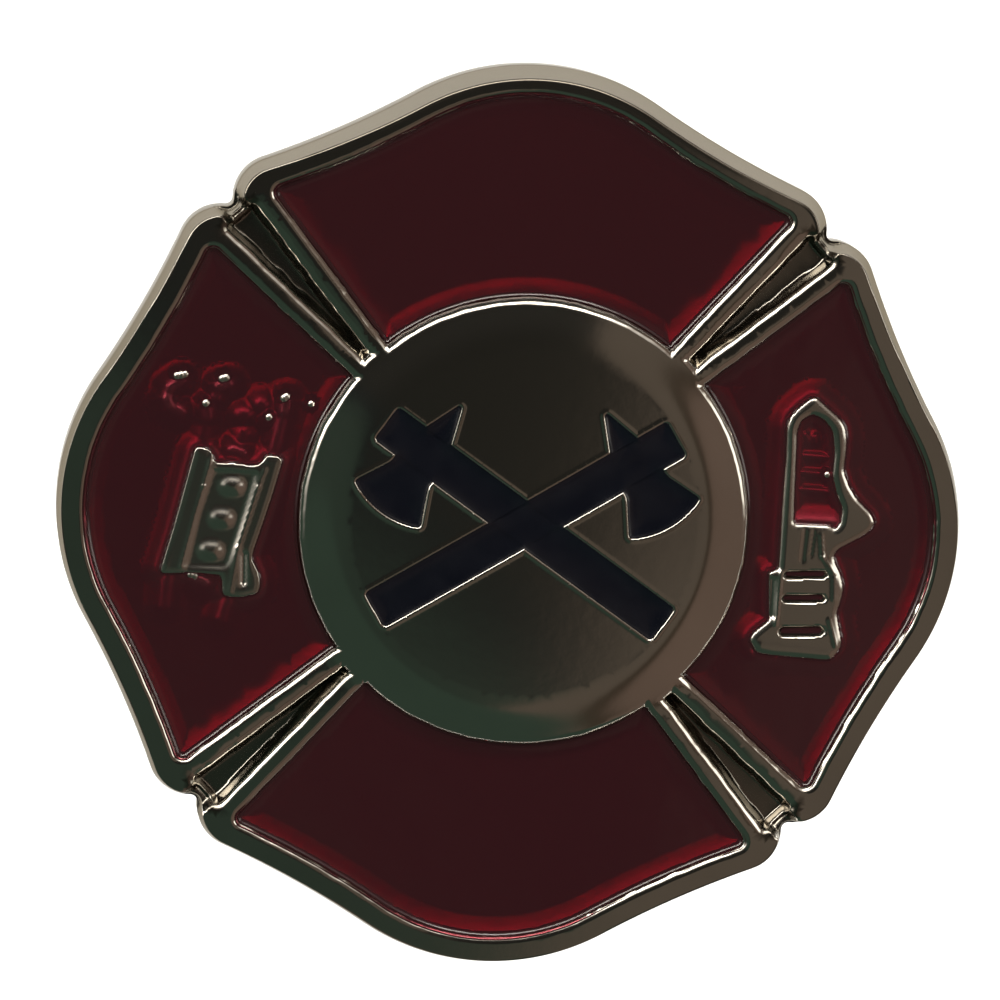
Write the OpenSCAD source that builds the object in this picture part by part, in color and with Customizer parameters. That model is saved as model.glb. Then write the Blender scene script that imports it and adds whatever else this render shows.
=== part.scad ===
// A struck and enamelled lapel pin in the shape of a four-armed cross.
// The pin lies face up on its clutch. The origin is the middle of the clutch's flat
// back, +Z points up out of the badge's face and +Y points to the top arm.

/* [Badge outline] */
// Distance from the middle of the badge to the tip of an arm
reach = 12.7; // [12.2:0.1:13.2]
// Radius of the rounded tip of an arm
tip_r = 6.5; // [5.8:0.1:7.2]
// Direction of the edge where the tip ends and the hollow flank starts, in degrees
tip_turn = 31.5; // [31:0.5:33]
// Radius of the hollow flank between the tip and the corner
flank_r = 28; // [26:0.5:30]
// Direction of the edge where the flank ends and the corner starts, in degrees
flank_turn = 22; // [21:0.5:22.5]
// Radius of the rounded corner of an arm
corner_r = 1.2; // [1.1:0.05:1.3]
// Radius of the small notch between two arms
notch_r = 0.2; // [0.15:0.05:0.4]

/* [Badge thickness] */
// Thickness of the badge from its back to the top of its rims
plate_t = 1.8; // [1.5:0.1:2.6]
// How far the rounded outer edge runs in under the rim
edge_run = 0.42; // [0.2:0.02:0.5]
// Height that the rounded outer edge takes up
edge_rise = 0.5; // [0.3:0.05:0.7]

/* [Cells and grooves] */
// Width of the rim from the outer edge to a cell
rim_w = 0.8; // [0.7:0.02:1]
// Depth of a cell's floor below the rims
cell_depth = 0.7; // [0.6:0.05:0.9]
// Half of the angle between the two straight sides of a cell
cell_half_angle = 40; // [38:0.5:41]
// Distance from the middle of the badge to where the two sides would meet
cell_apex = 0.17; // [0:0.01:0.3]
// Radius in the corners of a cell
cell_corner_r = 0.22; // [0.1:0.02:0.3]
// Width of the groove between two arms where it leaves the disc
groove_w_in = 0.26; // [0.2:0.02:0.6]
// Width of the groove at its outer end
groove_w_out = 1.06; // [0.7:0.02:1.2]
// Depth of the groove
groove_depth = 0.55; // [0.3:0.05:0.8]
// Width of the lip left between the groove and the notch
lip_w = 0.3; // [0.2:0.05:0.5]

/* [Middle disc] */
// Diameter of the disc where it stands out of the cells
disc_d = 12.6; // [11.5:0.1:13]
// How far the disc was struck to the right of the middle
disc_shift = 0.3; // [0:0.05:0.5]
// Width of the rounded shoulder of the disc
shoulder_w = 0.9; // [0.6:0.05:1.2]
// Height of the middle of the dome above the rims
dome_rise = 0.38; // [0.2:0.02:0.5]

/* [Sunk mark] */
// Width of an axe's handle
handle_w = 1.05; // [0.8:0.05:1.4]
// Length of an axe
axe_len = 9.6; // [8:0.1:10]
// Angle of an axe to the level
axe_lean = 33; // [25:1:40]
// Depth of the mark's floor below the rims
mark_depth = 0.15; // [0.05:0.05:0.3]

/* [Raised figures] */
// Height of a figure above the floor of its cell
figure_h = 0.56; // [0.45:0.02:0.65]
// Height of the ends of a figure that the enamel covers
covered_h = 0.3; // [0.15:0.01:0.32]
// Lean of the ladder, in degrees
ladder_lean = 14; // [8:0.5:17]
// Lean of the pike pole and the axe beside the ladder, in degrees
pole_lean = 11; // [8:0.5:17]
// Width of the ladder
ladder_w = 1.36; // [1.2:0.02:1.5]
// Distance from one rung of the ladder to the next
rung_pitch = 0.94; // [0.8:0.02:0.98]
// Depth of the hollows in the figures
figure_cut = 0.22; // [0.1:0.02:0.3]

/* [Enamel] */
// Thickness of the red enamel
enamel_t = 0.4; // [0.36:0.02:0.42]
// Thickness of the black enamel in the sunk mark
mark_enamel_t = 0.25; // [0.15:0.01:0.28]
// Gap between the enamel and the metal
enamel_gap = 0.03; // [0.02:0.01:0.06]

/* [Post and clutch] */
// Diameter of the post
post_d = 1.1; // [0.9:0.05:1.3]
// Length of the post
post_len = 7.2; // [6.5:0.1:9]
// Diameter of the clutch
clutch_d = 11; // [9:0.5:12]
// Height of the clutch
clutch_h = 6.5; // [6:0.1:7.5]
// Gap between the clutch and the back of the badge, which the cloth takes up
cloth_gap = 1.4; // [1:0.1:2.5]
// Gap all round the post in the clutch
post_gap = 0.05; // [0.03:0.01:0.1]

/* [Hidden] */

// Steps on each stretch of half an arm's outline: tip, flank, corner and notch
TIP_STEPS = 8;
FLANK_STEPS = 6;
CORNER_STEPS = 6;
NOTCH_STEPS = 2;
// Steps on the disc's shoulder and on the clutch's rounded foot
SHOULDER_STEPS = 6;
FOOT_STEPS = 5;
// Quarter turns of the arms, clockwise
TOP_ARM = 0;
RIGHT_ARM = 1;
BOTTOM_ARM = 2;
LEFT_ARM = 3;
// Overlap of joined solids
SINK = 0.1;
// Length of cutters that only have to reach past the badge
FAR = 20;

tip_c = [0, reach - tip_r];
flank_c = tip_c + (tip_r + flank_r) * compass(tip_turn);
corner_c = flank_c - (flank_r + corner_r) * compass(flank_turn);
// The notch's circle lies on the diagonal and touches the corner's circle
corner_off = (corner_c.y - corner_c.x) / sqrt(2);
corner_along = (corner_c.y + corner_c.x) / sqrt(2);
notch_along = corner_along + sqrt(pow(corner_r + notch_r, 2) - pow(corner_off, 2));
notch_c = notch_along * compass(45);
corner_turn = atan2(notch_c.x - corner_c.x, notch_c.y - corner_c.y);
notch_reach = notch_along - notch_r;

plate_back = clutch_h + cloth_gap;
cell_floor = plate_t - cell_depth;
enamel_top_z = cell_floor + enamel_t;
disc_r = disc_d / 2;
disc_c = [disc_shift, 0];
// Where the rims run on into the disc, under its shoulder
disc_root_r = disc_r - shoulder_w / 2;
dome_r = (pow(disc_r - shoulder_w, 2) + pow(dome_rise / 2, 2)) / dome_rise;
mark_floor = plate_t - mark_depth;
// Head of a crossed axe: its place, half its neck, its reach to each side, and the
// round edge of its blade
head_x = axe_len * 0.36;
head_neck = 0.6;
head_neck_z = handle_w * 0.75;
blade_reach = 2.05;
blade_edge_r = 2.4;
blade_turn = 27;
pick_reach = 1.6;

// Figure on the left arm: the middle of its ladder, and the heights from there at which
// its parts go under the enamel and end
ladder_c = [-8.08, -0.2];
ladder_top = 1.15;
ladder_foot = -1.9;
ladder_end = 2.5;
ladder_start = -2.6;
axe_foot = -2.3;
pole_end = 3.35;
pole_foot = -3.4;
pike_x = -1.06;
pike_w = 0.48;
axe_x = 1.05;
axe_w = 0.36;
blade_w = 0.55;
hook_r = 0.56;
hook_w = 0.28;
hook_z = 2.65;
// How much narrower an end is where the enamel covers it
covered_less = 0.08;
// Rails of the ladder, and its stout round rungs: their number, their width, their height
// and how far the middle of the first one is below the top of the ladder
rail_w = 0.15;
RUNGS = 3;
rung_w = ladder_w * 0.7;
rung_h = rung_pitch * 0.74;
first_rung_drop = rung_pitch * 0.38;

// Figure on the right arm: the middle of the hydrant, and its parts from there
hydrant_c = [8.4, 0.1];
barrel_w = 1.62;
dome_z = 3;
flange_w = 2.1;
flange_h = 0.8;
flange_z = -1.5;
foot_w = 2.6;
foot_h = 1;
foot_z = -3.55;
cap_out = 1.8;
cap_h = 1.3;
cap_z = 0.45;
hollow_w = 1.15;
// Steps of the bonnet: their number, their pitch, the height of the hollow between two
// and how far the middle of the first hollow is below the dome's middle
BONNET_STEPS = 5;
bonnet_pitch = 0.55;
bonnet_hollow_h = bonnet_pitch * 0.7;
bonnet_drop = bonnet_pitch * 0.8;
// Joints of the barrel: the places of their hollows and the height of one
joint_zs = [-1.17, -1.85, -2.8];
joint_h = 0.26;

// Rounding of the badge's back edge
back_round = 0.14;
// Point of the post, and the drop of solder round its root
point_h = 1.2;
solder_h = 0.4;
solder_d = 2.4;

// Room left in the clutch past the point of the post
bore_spare = 0.25;
// Rounding of the clutch's foot
foot_round = 0.9;
// Wall of the clutch above its foot, with a groove for the fingers. A row for each turn
// of the wall: [distance inside the clutch's radius, share of the clutch's height]
clutch_wall = [
    [0, 0.5],
    [0.35, 0.56],
    [1.5, 0.6],
    [1.5, 0.7],
    [0.9, 0.74],
    [0.8, 0.9],
    [1.3, 0.985],
    [1.8, 1]
];

// Direction at an angle measured from the top arm, clockwise
function compass(a) = [sin(a), cos(a)];

// Points of an arc round c, from one compass direction to another. The first point
// is left out, because it is the last one of the arc before it.
function arc(c, r, from, to, steps) = [
    for (i = [1:steps]) c + r * compass(from + (to - from) * i / steps)
];

// A point turned clockwise round the middle
function turned(p, a) = [p.x * cos(a) + p.y * sin(a), p.y * cos(a) - p.x * sin(a)];

// Right half of the top arm's outline, set in by "inset", from its tip to the notch
function half_arm(inset) = concat(
    [tip_c + (tip_r - inset) * compass(0)],
    arc(tip_c, tip_r - inset, 0, tip_turn, TIP_STEPS),
    arc(flank_c, -flank_r - inset, tip_turn, flank_turn, FLANK_STEPS),
    arc(corner_c, corner_r - inset, flank_turn, corner_turn, CORNER_STEPS),
    arc(notch_c, -notch_r - inset, corner_turn, 45, NOTCH_STEPS)
);

// Whole outline, clockwise from the notch left of the top arm
function outline(inset) = let (
    half = half_arm(inset),
    last = len(half) - 1,
    left_half = [for (i = [last:-1:1]) [-half[i].x, half[i].y]],
    right_half = [for (i = [0:last - 1]) half[i]]
) [
    for (arm = [0:3])
        for (p = concat(left_half, right_half))
            turned(p, 90 * arm)
];

// Body through the outline at each level, given as [height, inset]. Its two ends are
// fans from the middle.
module edge_body(levels) {
    rings = [for (l = levels) [for (p = outline(l[1])) [p.x, p.y, l[0]]]];
    n = len(rings[0]);
    top = len(levels) - 1;
    back_middle = n * len(levels);
    face_middle = back_middle + 1;
    polyhedron(
        points = concat(
            [for (ring = rings) each ring],
            [[0, 0, levels[0][0]], [0, 0, levels[top][0]]]
        ),
        faces = concat(
            [for (i = [0:n - 1]) [back_middle, (i + 1) % n, i]],
            [for (k = [0:top - 1]) for (i = [0:n - 1]) [
                k * n + i,
                k * n + (i + 1) % n,
                (k + 1) * n + (i + 1) % n,
                (k + 1) * n + i
            ]],
            [for (i = [0:n - 1]) [face_middle, top * n + i, top * n + (i + 1) % n]]
        )
    );
}

// Cell of the arm at a quarter turn, up to the edge of a disc of radius r
module cell_shape(arm, r) {
    left_side = FAR * compass(-cell_half_angle);
    right_side = FAR * compass(cell_half_angle);
    offset(r = cell_corner_r, $fn = 24)
        offset(delta = -cell_corner_r)
            difference() {
                intersection() {
                    polygon(outline(rim_w));
                    rotate(-90 * arm)
                        translate([0, cell_apex])
                            polygon([[0, 0], left_side, right_side]);
                }
                translate(disc_c)
                    circle(r, $fn = 96);
            }
}

// Tapering groove on the diagonal at a quarter turn, with a low lip left at its end
module groove_shape(arm) {
    start = disc_root_r;
    end = notch_reach - lip_w;
    rotate(-90 * arm - 45)
        polygon([
            [-groove_w_in / 2, start],
            [groove_w_in / 2, start],
            [groove_w_out / 2, end],
            [-groove_w_out / 2, end]
        ]);
}

// Domed disc with a rounded shoulder, standing on the floor of the cells
module disc() {
    shoulder_top = plate_t + dome_rise / 2;
    shoulder_foot = enamel_top_z;
    translate([disc_c.x, disc_c.y, 0])
        rotate_extrude($fn = 96)
            intersection() {
                polygon(concat(
                    [[0, cell_floor - SINK], [disc_r, cell_floor - SINK], [disc_r, shoulder_foot]],
                    [for (i = [1:SHOULDER_STEPS]) let (a = 90 * i / SHOULDER_STEPS) [
                        disc_r - shoulder_w * (1 - cos(a)),
                        shoulder_foot + (shoulder_top - shoulder_foot) * sin(a)
                    ]],
                    [[disc_r - shoulder_w, plate_t + FAR], [0, plate_t + FAR]]
                ));
                translate([0, plate_t + dome_rise - dome_r])
                    circle(dome_r, $fn = 360);
            }
}

// One fire axe, lying level with its head to the right and its blade down
module axe_shape() {
    square([axe_len, handle_w], center = true);
    translate([head_x, 0]) {
        // The blade flares from the neck to a round edge
        polygon(concat(
            [[head_neck, 0], [head_neck, -head_neck_z]],
            arc([0, blade_edge_r - blade_reach], blade_edge_r, 180 - blade_turn, 180 + blade_turn, 8),
            [[-head_neck, -head_neck_z], [-head_neck, 0]]
        ));
        // Pick at the back of the head
        polygon([[-head_neck, 0], [0, pick_reach], [head_neck, 0]]);
    }
}

// The two crossed axes of the sunk mark
module mark_shape() {
    translate(disc_c)
        for (side = [0, 1])
            mirror([side, 0])
                rotate(axe_lean)
                    axe_shape();
}

// Upright bar round x, between two heights
module bar(x, w, from, to) {
    translate([x - w / 2, from])
        square([w, to - from]);
}

// Level slot with round ends, round the point c
module round_slot(c, w, h) {
    translate(c) {
        square([w - h, h], center = true);
        for (side = [-1, 1])
            translate([side * (w - h) / 2, 0])
                circle(d = h, $fn = 24);
    }
}

// Places a shape of the figure on the left arm, leaning to the right
module on_left_arm(lean) {
    translate(ladder_c)
        rotate(-lean)
            children();
}

// What stands out of the enamel on the left arm: the ladder, the pike pole left of it
// and the axe right of it, with the corner of the axe's blade at its foot
module ladder_shape() {
    on_left_arm(ladder_lean)
        bar(0, ladder_w, ladder_foot, ladder_top);
    on_left_arm(pole_lean) {
        bar(pike_x, pike_w, ladder_foot, ladder_top);
        bar(axe_x, axe_w, axe_foot, ladder_top);
        translate([axe_x, axe_foot])
            polygon([[0, 1], [blade_w, 0.45], [blade_w, 0.1], [0, 0]]);
    }
}

// What the enamel covers there: both ends of the ladder and of the poles, and the pike's
// hook
module covered_shape() {
    on_left_arm(ladder_lean)
        for (ends = [[ladder_start, ladder_foot + SINK], [ladder_top - SINK, ladder_end]])
            bar(0, ladder_w - covered_less, ends[0], ends[1]);
    on_left_arm(pole_lean) {
        bar(pike_x, pike_w - covered_less, pole_foot, ladder_foot + SINK);
        bar(pike_x, axe_w - covered_less, ladder_top - SINK, pole_end);
        bar(axe_x - axe_w, pike_w, pole_foot, ladder_foot + SINK);
        bar(axe_x, axe_w - covered_less, ladder_top - SINK, pole_end);
        translate([pike_x - hook_r, hook_z]) {
            difference() {
                circle(hook_r, $fn = 32);
                circle(hook_r - hook_w, $fn = 32);
            }
        }
    }
}

// Sunk field of the ladder, round its rungs
module rung_gaps_shape() {
    on_left_arm(ladder_lean)
        difference() {
            bar(0, ladder_w - 2 * rail_w, ladder_foot + rail_w, ladder_top - rail_w);
            for (rung = [0:RUNGS - 1])
                round_slot([0, ladder_top - first_rung_drop - rung_pitch * rung], rung_w, rung_h);
        }
}

// Hydrant on the right arm: barrel with its dome, side cap, flange and spreading foot
module hydrant_shape() {
    translate(hydrant_c) {
        bar(0, barrel_w, foot_z, dome_z);
        translate([0, dome_z])
            circle(d = barrel_w, $fn = 48);
        bar(0, flange_w, flange_z - flange_h / 2, flange_z + flange_h / 2);
        polygon([
            [-flange_w / 2, foot_z + foot_h * 0.9],
            [-foot_w * 0.57, foot_z + foot_h * 0.35],
            [-foot_w / 2, foot_z],
            [foot_w * 0.36, foot_z],
            [foot_w * 0.43, foot_z + foot_h * 0.35],
            [flange_w / 2, foot_z + foot_h * 0.9]
        ]);
        // Side cap
        polygon([
            [0, cap_z + cap_h],
            [barrel_w / 2, cap_z + cap_h],
            [cap_out, cap_z + cap_h * 0.2],
            [cap_out, cap_z - cap_h * 0.15],
            [barrel_w / 2, cap_z - cap_h * 0.8],
            [0, cap_z - cap_h * 0.8]
        ]);
    }
}

// Hollows in the hydrant: the steps of its bonnet and the joints of its barrel
module hydrant_hollows_shape() {
    translate(hydrant_c) {
        for (step = [0:BONNET_STEPS - 1])
            round_slot(
                [0, dome_z - bonnet_drop - bonnet_pitch * step],
                hollow_w,
                bonnet_hollow_h
            );
        for (z = joint_zs)
            round_slot([0, z], hollow_w, joint_h);
    }
}

// Struck body: rims, cells, grooves and the middle disc
module struck_body() {
    difference() {
        edge_body([
            [0, back_round],
            [back_round, 0],
            [plate_t - edge_rise, 0],
            [plate_t - edge_rise * 0.35, edge_run * 0.35],
            [plate_t, edge_run]
        ]);
        for (arm = [0:3]) {
            translate([0, 0, cell_floor])
                linear_extrude(FAR)
                    cell_shape(arm, disc_root_r);
            translate([0, 0, plate_t - groove_depth])
                linear_extrude(FAR)
                    groove_shape(arm);
        }
    }
    disc();
}

// Raised figures, standing on the floors of their cells
module figures() {
    translate([0, 0, cell_floor - SINK]) {
        linear_extrude(figure_h + SINK) {
            ladder_shape();
            hydrant_shape();
        }
        linear_extrude(covered_h + SINK)
            covered_shape();
    }
}

// Pointed post on the back, in its drop of solder
module post() {
    translate([0, 0, point_h - post_len])
        cylinder(d = post_d, h = post_len - point_h + SINK, $fn = 48);
    translate([0, 0, -post_len])
        cylinder(d1 = post_d / 4, d2 = post_d, h = point_h, $fn = 48);
    translate([0, 0, -solder_h])
        cylinder(d1 = post_d, d2 = solder_d, h = solder_h + SINK / 2, $fn = 48);
}

module plate() {
    color("silver")
        translate([0, 0, plate_back]) {
            difference() {
                union() {
                    struck_body();
                    figures();
                }
                translate([0, 0, mark_floor])
                    linear_extrude(FAR)
                        mark_shape();
                translate([0, 0, cell_floor + figure_h - figure_cut])
                    linear_extrude(FAR) {
                        rung_gaps_shape();
                        hydrant_hollows_shape();
                    }
            }
            post();
        }
}

// Cuts a figure out of the enamel, up to height h, with a gap all round
module clear_of_figure(h) {
    translate([0, 0, -SINK])
        linear_extrude(h + SINK)
            offset(delta = enamel_gap)
                children();
}

// Red enamel in the cell of one arm, open where a figure stands up through it
module red_enamel(arm) {
    color("darkred")
        translate([0, 0, plate_back + cell_floor + enamel_gap])
            difference() {
                linear_extrude(enamel_t - enamel_gap)
                    offset(delta = -enamel_gap)
                        cell_shape(arm, disc_r);
                if (arm == RIGHT_ARM)
                    clear_of_figure(enamel_t)
                        hydrant_shape();
                if (arm == LEFT_ARM) {
                    clear_of_figure(enamel_t)
                        ladder_shape();
                    clear_of_figure(covered_h)
                        covered_shape();
                }
            }
}

module enamel_top() {
    red_enamel(TOP_ARM);
}

module enamel_right() {
    red_enamel(RIGHT_ARM);
}

module enamel_bottom() {
    red_enamel(BOTTOM_ARM);
}

module enamel_left() {
    red_enamel(LEFT_ARM);
}

// Black enamel of the sunk mark
module emblem_enamel() {
    color("black")
        translate([0, 0, plate_back + mark_floor + enamel_gap])
            linear_extrude(mark_enamel_t - enamel_gap)
                offset(delta = -enamel_gap)
                    mark_shape();
}

// Round clutch with a flat back, a finger groove and a blind bore for the post
module clutch() {
    bore_floor = plate_back - post_len - bore_spare;
    r = clutch_d / 2;
    foot_r = r - foot_round;
    color("gainsboro")
        difference() {
            rotate_extrude($fn = 96)
                polygon(concat(
                    [[0, 0], [foot_r, 0]],
                    [for (i = [1:FOOT_STEPS]) let (a = 90 * i / FOOT_STEPS) [
                        foot_r + foot_round * sin(a),
                        foot_round * (1 - cos(a))
                    ]],
                    [for (turn = clutch_wall) [r - turn[0], clutch_h * turn[1]]],
                    [[0, clutch_h]]
                ));
            translate([0, 0, bore_floor])
                cylinder(d = post_d + 2 * post_gap, h = FAR, $fn = 48);
        }
}

plate();
enamel_top();
enamel_right();
enamel_bottom();
enamel_left();
emblem_enamel();
clutch();
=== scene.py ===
# %% [markdown]
# # A struck and enamelled lapel pin
# The real badge is struck from a brass blank in one blow of a steel die. The die leaves
# raised rims, four sunken cells, four grooves between them, a domed disc in the middle and
# two small figures. The badge is trimmed round its outline, plated with nickel and tumbled
# bright. Then coloured enamel is dropped into the cells and baked. It wets the metal, so it
# creeps up the walls.
#
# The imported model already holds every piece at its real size. This lesson gives each piece
# the surface that a maker would see through a magnifying glass. Sizes are in millimetres
# while a shape is worked out, and become metres when its mesh is made.

# %% Load the frame
import bpy
import numpy as np
from mathutils import Matrix, Vector
from mathutils.geometry import delaunay_2d_cdt


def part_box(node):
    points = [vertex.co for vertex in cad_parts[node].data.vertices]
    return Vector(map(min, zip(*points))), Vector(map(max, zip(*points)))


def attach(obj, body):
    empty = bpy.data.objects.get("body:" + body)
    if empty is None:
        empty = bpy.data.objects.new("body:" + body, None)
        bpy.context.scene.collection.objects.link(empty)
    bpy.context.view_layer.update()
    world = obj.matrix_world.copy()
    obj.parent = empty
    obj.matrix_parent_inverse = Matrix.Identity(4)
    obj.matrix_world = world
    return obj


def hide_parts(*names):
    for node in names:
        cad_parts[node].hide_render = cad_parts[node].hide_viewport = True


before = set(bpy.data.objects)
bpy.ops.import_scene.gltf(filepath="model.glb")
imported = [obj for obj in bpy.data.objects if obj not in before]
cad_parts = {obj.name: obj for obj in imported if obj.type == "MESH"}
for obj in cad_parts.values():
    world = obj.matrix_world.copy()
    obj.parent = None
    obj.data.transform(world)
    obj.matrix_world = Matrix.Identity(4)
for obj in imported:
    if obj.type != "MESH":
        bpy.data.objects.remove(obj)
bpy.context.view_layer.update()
print("packed pieces:", sorted(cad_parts))

# %% [markdown]
# ## Sizes
# These are the badge's driving sizes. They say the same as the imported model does, so the
# new surfaces lie where the solids are. The height of the badge's back above the table is
# read from the frame.

# %% Driving sizes, in millimetres
MM = 0.001
REACH = 12.7
TIP_R, TIP_TURN = 6.5, 31.5
FLANK_R, FLANK_TURN = 28.0, 22.0
CORNER_R = 1.2
NOTCH_R = 0.2
PLATE_T = 1.8
RIM_W = 0.8
CELL_DEPTH = 0.7
CELL_HALF_ANGLE = 40.0
CELL_APEX = 0.17
CELL_CORNER_R = 0.22
GROOVE_W_IN, GROOVE_W_OUT = 0.26, 1.06
GROOVE_DEPTH = 0.55
LIP_W = 0.3
DISC_R = 6.3
DISC_C = np.array([0.3, 0.0])
DOME_RISE = 0.38
CELL_FLOOR = PLATE_T - CELL_DEPTH
BACK_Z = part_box("plate")[1].z / MM - PLATE_T - DOME_RISE
print("the badge's back is", round(BACK_Z, 2), "mm above the table")

# %% [markdown]
# ## The outline of an arm
# A fire service cross has four equal arms. Half an arm is four arcs that flow into each
# other: the round tip, the hollow flank, the small corner and the notch between two arms.
# Every other line on the badge is this outline moved inwards, so one function draws it at
# any distance inside the edge.

# %% Half an arm as four arcs
POINT_STEP = 0.14


def compass(turn):
    """Unit vector at an angle from the top arm, clockwise, in degrees."""
    turn = np.radians(turn)
    return np.stack([np.sin(turn), np.cos(turn)], -1)


def spread(first, last, radius, step=POINT_STEP):
    """Directions from first to last, about one step apart on a circle of that radius."""
    length = abs(np.radians(last - first) * radius)
    return np.linspace(first, last, int(np.ceil(length / step)) + 2)


tip_c = np.array([0.0, REACH - TIP_R])
flank_c = tip_c + (TIP_R + FLANK_R) * compass(TIP_TURN)
corner_c = flank_c - (FLANK_R + CORNER_R) * compass(FLANK_TURN)
corner_off = (corner_c[1] - corner_c[0]) / np.sqrt(2)
corner_along = (corner_c[1] + corner_c[0]) / np.sqrt(2)
notch_along = corner_along + np.sqrt((CORNER_R + NOTCH_R) ** 2 - corner_off ** 2)
notch_c = notch_along * compass(45)
corner_turn = np.degrees(np.arctan2(*(notch_c - corner_c)))

# Centre, radius (negative where the edge is hollow), first and last direction
HALF_ARM = [
    (tip_c, TIP_R, 0.0, TIP_TURN),
    (flank_c, -FLANK_R, TIP_TURN, FLANK_TURN),
    (corner_c, CORNER_R, FLANK_TURN, corner_turn),
    (notch_c, -NOTCH_R, corner_turn, 45.0),
]


def quarter_turns(points):
    """The same points on all four arms, clockwise from the top one."""
    x, y = points.T
    return [np.stack(p, -1) for p in ((x, y), (y, -x), (-x, -y), (-y, x))]


def mirrored(half):
    """The line of a whole arm from its right half."""
    return np.vstack([(half * [-1, 1])[::-1][:-1], half])


def outline(inset):
    """The badge's whole outline, moved inwards."""
    half = [np.array([[0.0, REACH - inset]])]
    for centre, radius, first, last in HALF_ARM:
        turns = spread(first, last, radius - inset)[1:]
        half.append(centre + (radius - inset) * compass(turns))
    return np.vstack(quarter_turns(mirrored(np.vstack(half))[:-1]))


print("outline points:", len(outline(0)))

# %% [markdown]
# ## Distances instead of drawings
# A struck face is a landscape: at each place it has one height. The height depends on how
# far that place is from the badge's edge, from a cell's wall and from a groove's wall. The
# cross is the same in eight mirrored slices, so a place is folded into one slice before
# its distances are measured.

# %% Distance inside the edge
FAR = 99.0
TURN_SLACK = 0.01


def folded(p):
    """The matching place in the right half of the top arm."""
    a = np.abs(p)
    return np.stack([a.min(-1), a.max(-1)], -1)


def diagonal(p):
    """Distances along and across the nearest diagonal."""
    q = folded(p)
    return (q[:, 1] + q[:, 0]) / np.sqrt(2), (q[:, 1] - q[:, 0]) / np.sqrt(2)


def edge_inset(p):
    """How far a place is inside the badge's edge."""
    q = folded(p)
    nearest = np.full(len(q), FAR)
    for centre, radius, first, last in HALF_ARM:
        away = (q - centre) * np.sign(radius)
        inset = radius - np.sign(radius) * np.hypot(*away.T)
        turn = np.degrees(np.arctan2(away[:, 0], away[:, 1]))
        low, high = min(first, last) - TURN_SLACK, max(first, last) + TURN_SLACK
        faces = (turn > low) & (turn < high)
        nearest = np.where(faces & (np.abs(inset) < np.abs(nearest)), inset, nearest)
    return nearest


def from_disc(p):
    """Distance from the middle of the disc."""
    return np.hypot(*(p - DISC_C).T)


print("1 mm inside the tip:", edge_inset(np.array([[0.0, REACH - 1]])).round(3))

# %% Distance inside a cell
CORNER_BLEND = 0.12


def smooth_max(a, b, width):
    """The larger of two values, with a soft change between them."""
    share = np.clip(0.5 + 0.5 * (a - b) / width, 0, 1)
    return b + (a - b) * share + 0.5 * width * share * (1 - share)


def rounded_corner(a, b, radius, cosine):
    """Distance inside a corner whose sides are a and b away, with its tip rounded."""
    u, w = radius - a, radius - b
    sine2 = 1 - cosine ** 2
    in_tip = (u > w * cosine) & (w > u * cosine)
    tip = np.sqrt(np.maximum(u * u + w * w - 2 * u * w * cosine, 0) / sine2)
    return np.where(in_tip, radius - tip, np.minimum(a, b))


# The straight side of a cell, and the circle that rounds its outer corner
apex = np.array([0.0, CELL_APEX])
side_way = compass(CELL_HALF_ANGLE)
side_out = compass(CELL_HALF_ANGLE + 90)
base = apex - CELL_CORNER_R * side_out - flank_c
reach_to_arc = FLANK_R + RIM_W + CELL_CORNER_R
half_chord = np.sqrt((base @ side_way) ** 2 - base @ base + reach_to_arc ** 2)
round_c = flank_c + base - (base @ side_way + half_chord) * side_way
round_turn = np.degrees(np.arctan2(*(flank_c - round_c)))
corner_cosine = compass(round_turn) @ side_out


def cell_in(p):
    """How far a place is inside the walls of its arm's cell."""
    outer = edge_inset(p) - RIM_W
    side = (apex - folded(p)) @ side_out
    return rounded_corner(outer, side, CELL_CORNER_R, corner_cosine)


def pool_in(p):
    """How far a place is inside a cell, with the disc as the cell's inner wall."""
    return -smooth_max(-cell_in(p), DISC_R - from_disc(p), CORNER_BLEND)


print("cell corner at", round_c.round(2))

# %% Distance inside a groove
GROOVE_CORNER_R = 0.16
GROOVE_START = 6.45
groove_end = notch_along - NOTCH_R - LIP_W


def groove_half(along):
    """Half the groove's width, at a distance along the diagonal."""
    ends = [GROOVE_START, groove_end]
    return np.interp(along, ends, [GROOVE_W_IN / 2, GROOVE_W_OUT / 2])


def groove_in(p):
    """How far a place is inside the walls of the groove on its diagonal."""
    along, across = diagonal(p)
    outer = rounded_corner(groove_half(along) - across, groove_end - along, GROOVE_CORNER_R, 0)
    return -smooth_max(-outer, GROOVE_START - from_disc(p), CORNER_BLEND)


print("the grooves end", round(groove_end, 2), "mm from the middle")

# %% [markdown]
# ## Lines that the mesh follows
# A fine wall only looks crisp if the mesh has edges along it. So the same walls are also
# drawn as lines, a small distance apart, and the triangles are made between them.

# %% Lines along the walls
UNDER_DISC = 5.0
LEAST = 0.01


def cell_lines(inside):
    """The walls of the four cells, moved inwards, each one open towards the disc."""
    inset = RIM_W + inside
    corner_r = max(CELL_CORNER_R - inside, LEAST)
    tip = tip_c + (TIP_R - inset) * compass(spread(0, TIP_TURN, TIP_R))
    flank = flank_c - (FLANK_R + inset) * compass(spread(TIP_TURN, round_turn, FLANK_R))
    turns = spread(round_turn, CELL_HALF_ANGLE + 90, corner_r, POINT_STEP / 3)
    corner = round_c + corner_r * compass(turns)
    length = np.hypot(*corner[-1]) - UNDER_DISC
    steps = np.arange(POINT_STEP, length, POINT_STEP)
    side = corner[-1] - steps[:, None] * side_way
    half = np.vstack([tip, flank[1:], corner[1:], side])
    return quarter_turns(mirrored(half))


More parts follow.
